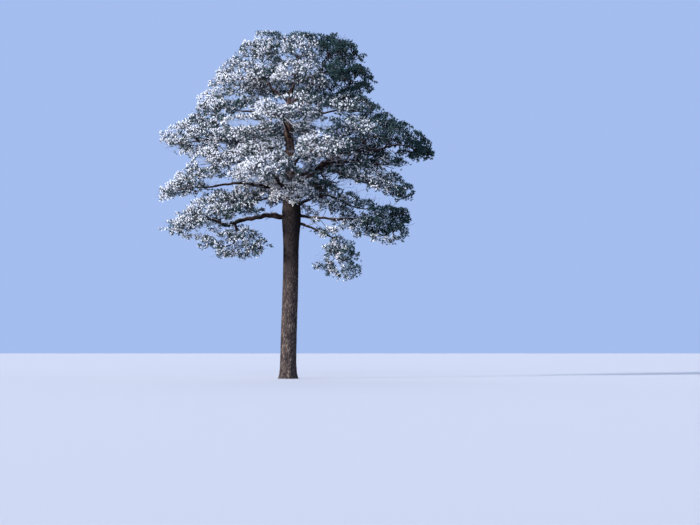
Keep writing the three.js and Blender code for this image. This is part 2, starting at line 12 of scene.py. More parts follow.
import bpy
import numpy as np
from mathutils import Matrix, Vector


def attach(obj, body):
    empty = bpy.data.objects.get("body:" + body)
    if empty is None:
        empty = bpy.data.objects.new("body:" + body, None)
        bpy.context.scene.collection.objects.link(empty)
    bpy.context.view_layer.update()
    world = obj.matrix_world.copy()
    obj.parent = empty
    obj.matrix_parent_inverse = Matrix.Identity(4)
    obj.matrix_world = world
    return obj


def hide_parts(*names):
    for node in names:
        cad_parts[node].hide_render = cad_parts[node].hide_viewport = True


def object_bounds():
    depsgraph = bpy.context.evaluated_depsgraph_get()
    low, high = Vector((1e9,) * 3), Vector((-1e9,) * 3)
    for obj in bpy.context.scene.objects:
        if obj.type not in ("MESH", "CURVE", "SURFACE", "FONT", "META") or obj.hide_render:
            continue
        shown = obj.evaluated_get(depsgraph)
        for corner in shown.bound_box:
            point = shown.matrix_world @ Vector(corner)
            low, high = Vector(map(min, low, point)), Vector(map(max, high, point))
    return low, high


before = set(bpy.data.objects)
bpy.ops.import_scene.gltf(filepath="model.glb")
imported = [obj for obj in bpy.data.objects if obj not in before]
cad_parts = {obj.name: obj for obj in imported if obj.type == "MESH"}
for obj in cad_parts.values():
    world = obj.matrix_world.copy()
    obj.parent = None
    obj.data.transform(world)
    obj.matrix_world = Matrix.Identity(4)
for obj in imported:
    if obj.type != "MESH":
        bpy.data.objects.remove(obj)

cad_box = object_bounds()
print("CAD box in metres:", [round(v, 2) for corner in cad_box for v in corner])

# %% [markdown]
# Most pieces below are arrays of points with arrays of faces. A mesh can be filled vertex by vertex through
# bmesh, but a crown has millions of corners, so one helper hands whole arrays to Blender with foreach_set.
# Each piece keeps its place in its mesh and its object at the origin, as the frame's own nodes do.

# %% A mesh from arrays
UP = np.array([0.0, 0.0, 1.0])


def make_piece(name, points, faces, material, slot=None, stands_for=(), smooth=False, marks=()):
    """A mesh object from an (n, 3) array of points and a list of arrays of faces, each array with one number
    of corners. Marks are named numbers on the points that a material can read. It rides on the tree."""
    mesh = bpy.data.meshes.new(name)
    corners = np.concatenate([group.ravel() for group in faces]).astype(np.int32)
    sizes = np.concatenate([np.full(len(group), group.shape[1]) for group in faces])
    mesh.vertices.add(len(points))
    mesh.vertices.foreach_set("co", points.astype(np.float32).ravel())
    mesh.loops.add(len(corners))
    mesh.loops.foreach_set("vertex_index", corners)
    mesh.polygons.add(len(sizes))
    mesh.polygons.foreach_set("loop_start", (np.cumsum(sizes) - sizes).astype(np.int32))
    mesh.update(calc_edges=True)
    mesh.polygons.foreach_set("use_smooth", np.full(len(sizes), smooth))
    for mark, values in dict(marks).items():
        attribute = mesh.attributes.new(mark, "FLOAT", "POINT")
        attribute.data.foreach_set("value", values.astype(np.float32).ravel())
    mesh.materials.append(material)
    piece = bpy.data.objects.new(name, mesh)
    bpy.context.scene.collection.objects.link(piece)
    if slot:
        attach(piece, "root")
    if stands_for:
        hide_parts(*stands_for)
    print(f"{name}: {int((sizes - 2).sum())} triangles")
    return piece


def unit(vectors):
    """Vectors divided by their own length."""
    return vectors / np.maximum(np.linalg.norm(vectors, axis=-1, keepdims=True), 1e-9)


# %% [markdown]
# Nothing here is drawn at random, because the tree has to come out the same in every run. The part's source
# scatters its twigs by two small rules, and the same two rules are written again here: a hash of two numbers
# through a sine, and an endless even spread of directions over a dome. Each use of chance has a seed of its
# own, which is a plain number that means nothing else.

# %% Seeded chance and even directions
HEIGHT_STEP, TURN_STEP = 0.5698402909980532, 0.7548776662466927


def chance(seed, index):
    """A number from 0 to 1 that looks random and is always the same: the fraction of a large sine."""
    wave = np.sin(seed * 12.9898 + np.asarray(index) * 78.233) * 43758.5453
    return wave - np.floor(wave)


def between(limits, share):
    """The number at a share of the way from the first limit to the second."""
    return limits[0] + (limits[1] - limits[0]) * share


def directions(seed, index, lowest):
    """Directions over a dome as shares along, across and up. The height goes up by one irrational step for
    each index and the turn by another, and each keeps only its fraction, so they never bunch."""
    up = lowest + (1 - lowest) * ((0.5 + chance(seed, 0) + index * HEIGHT_STEP) % 1)
    turn = 2 * np.pi * ((0.5 + chance(seed, 1) + index * TURN_STEP) % 1)
    flat = np.sqrt(1 - up * up)
    return np.stack([flat * np.cos(turn), flat * np.sin(turn), up], axis=-1)


print("three draws:", chance(1, np.arange(3)).round(3))

# %% [markdown]
# The trunk of an old pine is a near-cylinder up to its first boughs and a slow taper above them, on an axis
# that wanders a little. Its centre line is a Catmull-Rom spline through a few sways, and its girth is a sum
# of plain terms. These are the source's own driving dimensions, so bark and solid lie in the same place.

# %% The trunk's line and girth
TRUNK_TIP = 15.7
TRUNK_SWAY = np.array([[0, 0], [0.045, 0.02], [0.115, 0.03], [0.15, 0], [0.165, -0.04], [0.11, 0.01],
                       [-0.03, 0.04], [0.5, -0.04]])
BOLE_RADIUS, CROTCH_RADIUS, TIP_RADIUS = 0.4, 0.372, 0.042
CROTCH_HEIGHT, TRUNK_TAPER = 8.2, 0.9
COLLAR_SWELL, COLLAR_SPREAD = 0.105, 1.05
FLARE_SWELL, FLARE_FADE, FLARE_LOBES, LOBE_DEPTH, LOBE_TURN = 0.085, 0.3, 5, 0.1, 0.6


def trunk_axis(height):
    """Points on the trunk's centre line. Between two knots the sideways place is the cubic that leaves the
    first and meets the second with half the slope between the knots on either side."""
    knots = np.vstack([2 * TRUNK_SWAY[0] - TRUNK_SWAY[1], TRUNK_SWAY, 2 * TRUNK_SWAY[-1] - TRUNK_SWAY[-2]])
    place = np.clip(np.asarray(height) / TRUNK_TIP, 0, 1) * (len(TRUNK_SWAY) - 1)
    i = np.minimum(place.astype(int), len(TRUNK_SWAY) - 2)
    t = (place - i)[..., None]
    before, start, end, after = knots[i], knots[i + 1], knots[i + 2], knots[i + 3]
    leaving, meeting = (end - before) / 2, (after - start) / 2
    side = ((2 * t**3 - 3 * t**2 + 1) * start + (t**3 - 2 * t**2 + t) * leaving
            + (3 * t**2 - 2 * t**3) * end + (t**3 - t**2) * meeting)
    return np.concatenate([side, np.asarray(height, float)[..., None]], axis=-1)


def trunk_radius(height):
    """The shaft's taper above the crotch, plus the bole's below it, the collar under the lowest boughs as a
    bell curve, and the root flare fading upwards."""
    above = np.maximum(0, height - CROTCH_HEIGHT) / (TRUNK_TIP - CROTCH_HEIGHT)
    below = np.minimum(1, height / CROTCH_HEIGHT)
    shaft = TIP_RADIUS + (CROTCH_RADIUS - TIP_RADIUS) * np.maximum(1 - above, 0) ** TRUNK_TAPER
    collar = COLLAR_SWELL * np.exp(-(((height - CROTCH_HEIGHT) / COLLAR_SPREAD) ** 2))
    flare = FLARE_SWELL * np.exp(-height / FLARE_FADE)
    return shaft + (BOLE_RADIUS - CROTCH_RADIUS) * (1 - below) + collar + flare


print("trunk radius at breast height:", round(float(trunk_radius(np.float64(1.3))), 3), "m")

# %% [markdown]
# A bough is a straight reach from its foot to the point where it enters its foliage, lifted by an arch and
# bent once each way by a sway, which is all it takes to look crooked. Each has a foot, which is a height on
# the trunk or the end of another bough, and the same radii as its solid. Lines are kept as 201 points at
# even steps, so that any share of a length can be read off by interpolation.

# %% The boughs
Bough = namedtuple("Bough", "source tip arch sway base end")
BOUGHS = {name: Bough(*row) for name, row in {
    "left_lowest": (8.05, (-2.85, -0.25, 7.7), 0.23, 0.06, 0.15, 0.095),
    "left_middle": (9.15, (-3.65, -0.35, 9.6), 0.34, -0.09, 0.14, 0.05),
    "left_rising": (9.9, (-1.65, -1.05, 10.55), -0.06, 0.07, 0.115, 0.065),
    "left_upper": (11.3, (-3.25, -0.25, 11.9), 0.11, -0.11, 0.105, 0.052),
    "left_high": (13.0, (-2.25, 0.25, 13.45), 0.13, 0.07, 0.08, 0.045),
    "left_crest": (13.9, (-1.25, -0.25, 15.1), -0.1, 0.05, 0.078, 0.048),
    "right_crest": (13.7, (1.75, -0.15, 15.3), -0.09, -0.06, 0.082, 0.052),
    "right_high": (12.6, (2.3, -0.25, 13.4), 0.07, 0.08, 0.08, 0.045),
    "right_main": (9.4, (1.85, -0.35, 10.8), -0.07, -0.05, 0.19, 0.135),
    "right_shoulder": ("right_main", (4.25, -0.15, 11.45), 0.26, 0.08, 0.1, 0.062),
    "right_outer": ("right_main", (4.05, 0.25, 10.8), 0.12, -0.06, 0.088, 0.05),
    "right_droop": ("right_main", (3.45, -0.5, 9.9), -0.06, 0.06, 0.072, 0.045),
    "right_low": (8.55, (1.75, -0.6, 9.1), 0.06, -0.05, 0.1, 0.06),
    "right_lower": (8.25, (3.55, -0.05, 8.0), -0.11, 0.11, 0.085, 0.045),
    "right_lowest": (7.95, (2.15, 0.15, 7.1), 0.02, -0.05, 0.072, 0.042),
    "front_low": (8.9, (-0.45, -2.3, 9.75), 0.12, 0.09, 0.12, 0.072),
    "front_middle": (10.4, (0.85, -2.1, 11.15), 0.09, -0.08, 0.1, 0.062),
    "front_high": (12.0, (-0.15, -1.55, 12.75), 0.06, 0.05, 0.082, 0.052),
    "back_low": (8.75, (-0.5, 2.45, 9.35), 0.15, -0.09, 0.13, 0.075),
    "back_right": (9.95, (1.65, 2.15, 10.65), 0.11, 0.09, 0.11, 0.065),
    "back_left": (11.0, (-1.35, 2.05, 11.65), 0.11, 0.08, 0.096, 0.06),
    "back_high": (12.9, (0.35, 1.6, 14.05), -0.04, -0.06, 0.08, 0.052),
}.items()}
BOUGH_THINNING, FOOT_SWELL, FOOT_FADE, FORK_SHARE = 0.8, 0.3, 0.26, 0.94
EVEN = np.linspace(0, 1, 201)


def at_share(line, share):
    """The points at these shares of the length of a line of evenly spaced points."""
    where = np.linspace(0, 1, len(line))
    return np.stack([np.interp(share, where, line[:, k]) for k in range(3)], axis=-1)


def evened(line):
    """A line sampled again at even steps of its own length."""
    gone = np.concatenate([[0], np.cumsum(np.linalg.norm(np.diff(line, axis=0), axis=1))])
    steps = np.linspace(0, gone[-1], len(EVEN))
    return np.stack([np.interp(steps, gone, line[:, k]) for k in range(3)], axis=-1)


def length_of(line):
    """The sum of the steps of a line."""
    return float(np.linalg.norm(np.diff(line, axis=0), axis=1).sum())


def leaving_point(source, share):
    """Where something leaves a limb: the trunk's axis at a height, or a bough at a share of its length."""
    return trunk_axis(source) if isinstance(source, float) else at_share(limb_lines[source], share)


def bough_line(bough):
    """Foot plus t of the reach, plus the arch as a parabola in t, plus the sway as one whole sine wave."""
    foot = leaving_point(bough.source, FORK_SHARE)
    reach = np.array(bough.tip) - foot
    side = unit(np.cross(UP, reach)) * bough.sway
    t = EVEN[:, None]
    return evened(foot + reach * t + UP * bough.arch * 4 * t * (1 - t) + side * np.sin(2 * np.pi * t))


def bough_girth(bough, length, share):
    """From base to end by a power of the share, swollen at the foot by a fading collar."""
    plain = bough.base + (bough.end - bough.base) * share**BOUGH_THINNING
    return plain * (1 + FOOT_SWELL * np.exp(-share * length / FOOT_FADE))


limb_lines = {"trunk": trunk_axis(EVEN * TRUNK_TIP)}
limb_girths = {"trunk": trunk_radius(EVEN * TRUNK_TIP)}
for name, bough in BOUGHS.items():
    limb_lines[name] = bough_line(bough)
    limb_girths[name] = bough_girth(bough, length_of(limb_lines[name]), EVEN)
print(len(BOUGHS), "boughs,", round(sum(length_of(limb_lines[name]) for name in BOUGHS), 1), "m in all")

# %% [markdown]
# Pine bark is the part's one broad surface. Low on the bole it is grey-brown and breaks into long plates
# with fissures two fingers deep, and higher up it turns thin, orange-brown and flaky. A bump map alone would
# leave the outline smooth, so the plates are in the mesh: one seed is scattered in each cell of a grid that
# is wrapped round the limb, each point belongs to its nearest seed, and the fissures are where two seeds are
# equally near. The distance to the fissure and the plate's own number stay on the points for the material.

# %% Plated bark
BEND_EVERY, FISSURE_WIDE, FAR = 2.6, 0.42, 9.0
SIDE_WAVES, LONG_WAVE = ((0.3, 4.1), (0.16, 9.7)), (0.24, 2.3)
JITTER_AROUND, JITTER_ALONG, STEEP_LINE = (0.15, 0.7), (0.1, 0.8), 0.85


def plates(turn, along, around, tall, seed):
    """For points at these turns round a limb and these lengths along it: 0 in a fissure rising to 1 on the
    plate, and a number for each plate. The nearest and second nearest of nine jittered seeds give both.
    Sines of the turn and the length first push each point about, so that no edge is straight."""
    y = along / tall
    bends = round(around / BEND_EVERY)
    (high, fast), (low, faster) = SIDE_WAVES
    x = turn / (2 * np.pi) * around + high * np.sin(fast * y + bends * turn) + low * np.sin(faster * y)
    x, y = x % around, y + LONG_WAVE[0] * np.sin(bends * 2 * turn + LONG_WAVE[1] * y)
    column, row = np.floor(x), np.floor(y)
    nearest, second, number = np.full(x.shape, FAR), np.full(x.shape, FAR), np.zeros(x.shape)
    for step_x, step_y in np.ndindex(3, 3):
        cell = (column + step_x - 1) % around + (row + step_y - 1) * around
        seed_x = column + step_x - 1 + JITTER_AROUND[0] + JITTER_AROUND[1] * chance(seed, cell)
        seed_y = row + step_y - 1 + JITTER_ALONG[0] + JITTER_ALONG[1] * chance(seed + 1, cell)
        away = np.hypot(seed_x - x, seed_y - y)
        number = np.where(away < nearest, chance(seed + 2, cell), number)
        second = np.where(away < nearest, nearest, np.minimum(second, away))
        nearest = np.minimum(nearest, away)
    return np.clip((second - nearest) / FISSURE_WIDE, 0, 1), number


def square_to(lines):
    """Two unit vectors square to lines at each point: one across the line, one across both."""
    onward = unit(np.gradient(lines, axis=-2))
    steep = np.abs(unit(lines[..., -1:, :] - lines[..., :1, :])[..., 2:]) > STEEP_LINE
    side = unit(np.cross(np.where(steep, np.array([1.0, 0.0, 0.0]), UP), onward))
    return side, np.cross(onward, side)


def tube_faces(count, rings, sides):
    """Walls as quads between neighbouring rings, and a flat face over each end."""
    first = np.arange(count)[:, None, None] * rings * sides + np.arange(rings - 1)[:, None] * sides
    here, beside = first + np.arange(sides), first + (np.arange(sides) + 1) % sides
    walls = np.stack([here, beside, beside + sides, here + sides], axis=-1).reshape(-1, 4)
    feet = np.arange(count)[:, None] * rings * sides + np.arange(sides)
    return [walls, feet[:, ::-1], feet + (rings - 1) * sides]


def tubes(lines, girths, sides):
    """Closed tubes along many lines at once: each ring is its point plus the girth times the cosine of the
    turn across the line and the sine of the turn across both."""
    side, lift = square_to(lines)
    turn = 2 * np.pi * np.arange(sides) / sides
    ring = np.cos(turn)[:, None] * side[..., None, :] + np.sin(turn)[:, None] * lift[..., None, :]
    points = lines[..., None, :] + girths[..., None, None] * ring
    return points.reshape(-1, 3), tube_faces(*lines.shape[:2], sides)


# %% [markdown]
# The trunk's mesh has a vertex every 16 mm round the bole and every 20 mm up it, and wider steps where the
# crown hides it. Each ring is level, as in the solid, so that the cut at the ground stays flat.

# %% The trunk's mesh
BARK_SIDES = 158
BOLE_TOP, BOLE_STEP, CROWN_STEPS = 8.7, 0.0205, 150
PLATES_AROUND, PLATE_TALL, PLATE_DEPTH = 27, 0.25, 0.05
FLAKES_AROUND, FLAKE_TALL = 59, 0.1
PLATE_EDGE, PLATE_SUNK, PLATE_VARY, FLAKE_VARY = 0.6, 0.7, 0.4, 0.3
WAVER, PLATE_SEED, FLAKE_SEED = ((0.12, 2.1, 1.0), (0.05, 5.3, 0.0)), 3, 17
RUGGED_BELOW, RUGGED_FADE, THIN_BARK = 6.5, 0.8, 0.45
RISE_OF_PLATE, NUMBER_OF_PLATE = 0.6, 0.45


def trunk_surface(height, turn):
    """The girth with its root lobes, less the fissures. Plates, and small flakes on them, waver sideways with
    height, and the thin bark above the bole keeps under half of their depth."""
    waver = (turn + sum(far * np.sin(height * fast + start) for far, fast, start in WAVER)) % (2 * np.pi)
    rise, number = plates(waver, height, PLATES_AROUND, PLATE_TALL, PLATE_SEED)
    fine, flake = plates(waver, height, FLAKES_AROUND, FLAKE_TALL, FLAKE_SEED)
    lobe = LOBE_DEPTH * np.exp(-height / FLARE_FADE)
    girth = trunk_radius(height) * (1 + lobe * np.cos(FLARE_LOBES * turn + LOBE_TURN))
    rugged = THIN_BARK + (1 - THIN_BARK) / (1 + np.exp((height - RUGGED_BELOW) / RUGGED_FADE))
    relief = (rise**PLATE_EDGE - PLATE_SUNK + PLATE_VARY * (number - 0.5)
              + FLAKE_VARY * (fine - 0.5) + FLAKE_VARY * (flake - 0.5))
    girth = girth + PLATE_DEPTH * girth * rugged * relief
    around = np.stack([np.cos(turn), np.sin(turn), np.zeros_like(turn)], axis=-1)
    rise = rise * (RISE_OF_PLATE + (1 - RISE_OF_PLATE) * fine)
    number = NUMBER_OF_PLATE * number + (1 - NUMBER_OF_PLATE) * flake
    return trunk_axis(height) + around * girth[..., None], rise, number


heights = np.concatenate([np.arange(0, BOLE_TOP, BOLE_STEP), np.linspace(BOLE_TOP, TRUNK_TIP, CROWN_STEPS)])
turns = 2 * np.pi * np.arange(BARK_SIDES) / BARK_SIDES
trunk_points, trunk_rise, trunk_number = trunk_surface(*np.meshgrid(heights, turns, indexing="ij"))
print("trunk grid:", trunk_points.shape)

# %% [markdown]
# Materials are node trees. Three things recur on every bark: it is mottled, its hollows are dark, and rime
# lies on whatever faces the sky. Rime is a group with named inputs, built once: it takes the height of the
# surface's own normal, ragged by noise on Object coordinates, and puts out a mask. Shaders stay outside it.

# %% Node helpers and the rime group
def feed(socket, value):
    """Links another node's output to a socket, or sets the socket's plain value."""
    if isinstance(value, bpy.types.NodeSocket):
        socket.id_data.links.new(value, socket)
    else:
        socket.default_value = value


def place(tree, kind, *sockets, out=0, **values):
    """An output of a new node. Named values set its properties and its inputs, with _ for a space, and then
    the plain ones feed its inputs in order, where None passes one over."""
    node = tree.nodes.new(kind)
    for name, value in values.items():
        if name.replace("_", " ") in node.inputs:
            feed(node.inputs[name.replace("_", " ")], value)
        else:
            setattr(node, name, value)
    for socket, value in zip(node.inputs, sockets):
        if value is not None:
            feed(socket, value)
    return node.outputs[out]


def new_material(name, **values):
    """A material whose Principled BSDF has its plain values set."""
    material = bpy.data.materials.new(name)
    material.use_nodes = True
    for socket, value in values.items():
        feed(material.node_tree.nodes["Principled BSDF"].inputs[socket.replace("_", " ")], value)
    return material


def rime_group():
    """Rime: a mask that is 1 where the surface faces up by more than Lie, with an edge as wide as Soft, made
    ragged by noise with a Grain of so many grains to the metre."""
    group = bpy.data.node_groups.new("Rime", "ShaderNodeTree")
    for name, value in {"Lie": 0.4, "Soft": 0.5, "Ragged": 0.5, "Grain": 12.0}.items():
        socket = group.interface.new_socket(name=name, in_out="INPUT", socket_type="NodeSocketFloat")
        socket.default_value = value
    group.interface.new_socket(name="Mask", in_out="OUTPUT", socket_type="NodeSocketFloat")
    given = group.nodes.new("NodeGroupInput").outputs
    normal = place(group, "ShaderNodeNewGeometry", out="Normal")
    facing = place(group, "ShaderNodeSeparateXYZ", normal, out="Z")
    where = place(group, "ShaderNodeTexCoord", out="Object")
    noise = place(group, "ShaderNodeTexNoise", Vector=where, Scale=given["Grain"], Detail=4.0, Roughness=0.65)
    centred = place(group, "ShaderNodeMath", noise, 0.5, operation="SUBTRACT")
    ragged = place(group, "ShaderNodeMath", centred, given["Ragged"], facing, operation="MULTIPLY_ADD")
    over = place(group, "ShaderNodeMath", ragged, given["Lie"], operation="SUBTRACT")
    share = place(group, "ShaderNodeMath", over, given["Soft"], operation="DIVIDE", use_clamp=True)
    feed(group.nodes.new("NodeGroupOutput").inputs["Mask"], share)
    return group


RIME = rime_group()
RIME_COLOUR = (0.62, 0.65, 0.74, 1.0)
print("rime group:", len(RIME.nodes), "nodes")

# %% [markdown]
# Bark has one recipe for trunk and limbs: a mottle of two browns by noise stretched along the limb, a grey
# cast low on the bole giving way to warm flakes above, each plate a little lighter or darker by its own
# number, darkness in the fissures, and rime on top. Between the grey and the flakes, the bole is darkened to
# near black from about 3 m to 10 m, which is painted shade of the crown above it. The boughs are near black
# below about 9 m, partly their own dark bark and partly painted shade under the crown. A fine bump adds the
# grain that is too small for the mesh.

# %% Bark materials
def bark_material(name, zones, fissure, lie):
    """Each zone is a height where it begins, half the height over which it does, and the mottle's two
    colours. Fissures have one colour, and rime lies on what faces up by more than the last number."""
    material = new_material(name, Roughness=0.92, Specular_IOR_Level=0.15)
    tree = material.node_tree
    shader = tree.nodes["Principled BSDF"]

    def mixed(factor, first, second, blend="MIX"):
        """A colour mix. The node takes its two colours at its seventh and eighth inputs."""
        return place(tree, "ShaderNodeMix", factor, *[None] * 5, first, second, out=2, data_type="RGBA",
                     blend_type=blend)

    where = place(tree, "ShaderNodeTexCoord", out="Object")
    stretched = place(tree, "ShaderNodeMapping", Vector=where, Scale=(1.0, 1.0, 0.35))
    mottle = place(tree, "ShaderNodeTexNoise", Vector=stretched, Scale=7.0, Detail=6.0, Roughness=0.6)
    spread = place(tree, "ShaderNodeMapRange", mottle, From_Min=0.36, From_Max=0.64)
    height = place(tree, "ShaderNodeSeparateXYZ", where, out="Z")
    plain = fissure
    for begins, half, dark, light in zones:
        turned = place(tree, "ShaderNodeMapRange", height, From_Min=begins - half, From_Max=begins + half,
                       interpolation_type="SMOOTHSTEP")
        plain = mixed(turned, plain, mixed(spread, dark, light))
    number = place(tree, "ShaderNodeAttribute", out="Fac", attribute_name="plate")
    shade = place(tree, "ShaderNodeMapRange", number, To_Min=0.1, To_Max=1.9)
    plated = mixed(1.0, plain, shade, "MULTIPLY")
    rise = place(tree, "ShaderNodeAttribute", out="Fac", attribute_name="rise")
    raised = place(tree, "ShaderNodeMapRange", rise, From_Min=0.1, From_Max=0.75)
    grooved = mixed(raised, fissure, plated)
    rime = place(tree, "ShaderNodeGroup", node_tree=RIME, Lie=lie)
    feed(shader.inputs["Base Color"], mixed(rime, grooved, RIME_COLOUR))
    grain = place(tree, "ShaderNodeTexNoise", Vector=stretched, Scale=55.0, Detail=5.0, Roughness=0.7)
    bump = place(tree, "ShaderNodeBump", Strength=0.6, Distance=0.012, Height=grain)
    feed(shader.inputs["Normal"], bump)
    return material


# Zones two to four are painted shade: they darken the bole from about 3 m up to about 10 m, near black at 7
# to 8 m, where the crown shades it. The first and last zones are the bark's own grey low down and orange
# above.
TRUNK_BARK = bark_material(
    "plated bark with painted shade",
    zones=[(-1.0, 0.5, (0.030, 0.023, 0.026, 1), (0.105, 0.084, 0.072, 1)),
           (5.0, 1.8, (0.005, 0.004, 0.004, 1), (0.020, 0.015, 0.013, 1)),
           (7.2, 0.4, (0.001, 0.001, 0.001, 1), (0.005, 0.004, 0.005, 1)),
           (8.4, 0.3, (0.008, 0.006, 0.006, 1), (0.030, 0.022, 0.020, 1)),
           (10.2, 1.0, (0.072, 0.042, 0.034, 1), (0.200, 0.122, 0.092, 1))],
    fissure=(0.020, 0.014, 0.015, 1), lie=0.62)
# The first zone is near black up to about 9 m: partly the boughs' own dark bark, partly painted shade under
# the crown. Above it they turn red-brown.
BOUGH_BARK = bark_material(
    "flaky bark with painted shade",
    zones=[(-1.0, 0.5, (0.009, 0.006, 0.007, 1), (0.030, 0.018, 0.016, 1)),
           (9.4, 1.2, (0.026, 0.016, 0.017, 1), (0.080, 0.049, 0.044, 1))],
    fissure=(0.014, 0.009, 0.009, 1), lie=0.5)

# %% The trunk's bark
make_piece("trunk_bark", trunk_points.reshape(-1, 3), tube_faces(1, len(heights), BARK_SIDES), TRUNK_BARK,
           "trunk_bark", ["trunk"], smooth=True, marks={"rise": trunk_rise, "plate": trunk_number})

# %% [markdown]
# The boughs get the same bark at a smaller scale, on tubes that follow their own lines. Curves with a bevel
# would make such tubes too, but they can't carry the plates in their surface. They are joined in one mesh.

# %% The boughs' mesh
BOUGH_SIDES, BOUGH_STEP = 26, 0.045
BOUGH_PLATES, BOUGH_PLATE_TALL, BOUGH_RELIEF, BOUGH_PLATE_VARY = 7, 0.15, 0.09, 0.6
KINK, KINK_FADE, SMALL_KINK, KINKS_ASIDE, KINKS_UP = 0.26, 0.5, 0.6, (5.3, 11.9), (4.4, 13.7)
KNOT_SWELL, KNOTS, PHASE, BOUGH_SEED = 0.35, (7.1, 2.9), 6.28, 40


def barked_tube(line, girths, sides, seed):
    """A tube's rings with the plates' relief in its girth, and their marks. The line kinks by a share of the
    girth and the girth swells at knots, both by sines of the length that fade out at the two ends."""
    side, lift = square_to(line)
    along, turn = np.meshgrid(np.linspace(0, length_of(line), len(line)),
                              2 * np.pi * np.arange(sides) / sides, indexing="ij")
    rise, number = plates(turn, along, BOUGH_PLATES, BOUGH_PLATE_TALL, seed)
    way = along[:, :1]
    fade = np.clip(np.minimum(way, way[-1] - way) / KINK_FADE, 0, 1) * girths[:, None] * KINK
    phase = PHASE * chance(seed, np.arange(4))
    for across, (slow, fast), start in ((side, KINKS_ASIDE, phase[:2]), (lift, KINKS_UP, phase[2:])):
        kinked = np.sin(way * slow + start[0]) + SMALL_KINK * np.sin(way * fast + start[1])
        line = line + fade * across * kinked
    knots = np.clip(np.sin(way * KNOTS[0] + phase[1]) * np.sin(way * KNOTS[1] + phase[2]), 0, 1) ** 2
    relief = 1 + BOUGH_RELIEF * (rise - PLATE_SUNK + BOUGH_PLATE_VARY * (number - 0.5))
    girth = girths[:, None] * (1 + KNOT_SWELL * knots) * relief
    ring = np.cos(turn)[..., None] * side[:, None] + np.sin(turn)[..., None] * lift[:, None]
    return (line[:, None] + girth[..., None] * ring).reshape(-1, 3), rise.ravel(), number.ravel()


# %% Every bough's tube, in one mesh
barked, bough_faces, gone = [], [[], [], []], 0
for seed, name in enumerate(BOUGHS, BOUGH_SEED):
    rings = int(length_of(limb_lines[name]) / BOUGH_STEP)
    share = np.linspace(0, 1, rings)
    girths = np.interp(share, EVEN, limb_girths[name])
    barked.append(barked_tube(at_share(limb_lines[name], share), girths, BOUGH_SIDES, seed))
    for kept, group in zip(bough_faces, tube_faces(1, rings, BOUGH_SIDES)):
        kept.append(group + gone)
    gone += rings * BOUGH_SIDES
bough_points, bough_rise, bough_number = [np.concatenate(values) for values in zip(*barked)]
make_piece("boughs_bark", bough_points, [np.concatenate(group) for group in bough_faces], BOUGH_BARK,
           "bough_bark", [f"bough_{name}" for name in BOUGHS], smooth=True,
           marks={"rise": bough_rise, "plate": bough_number})
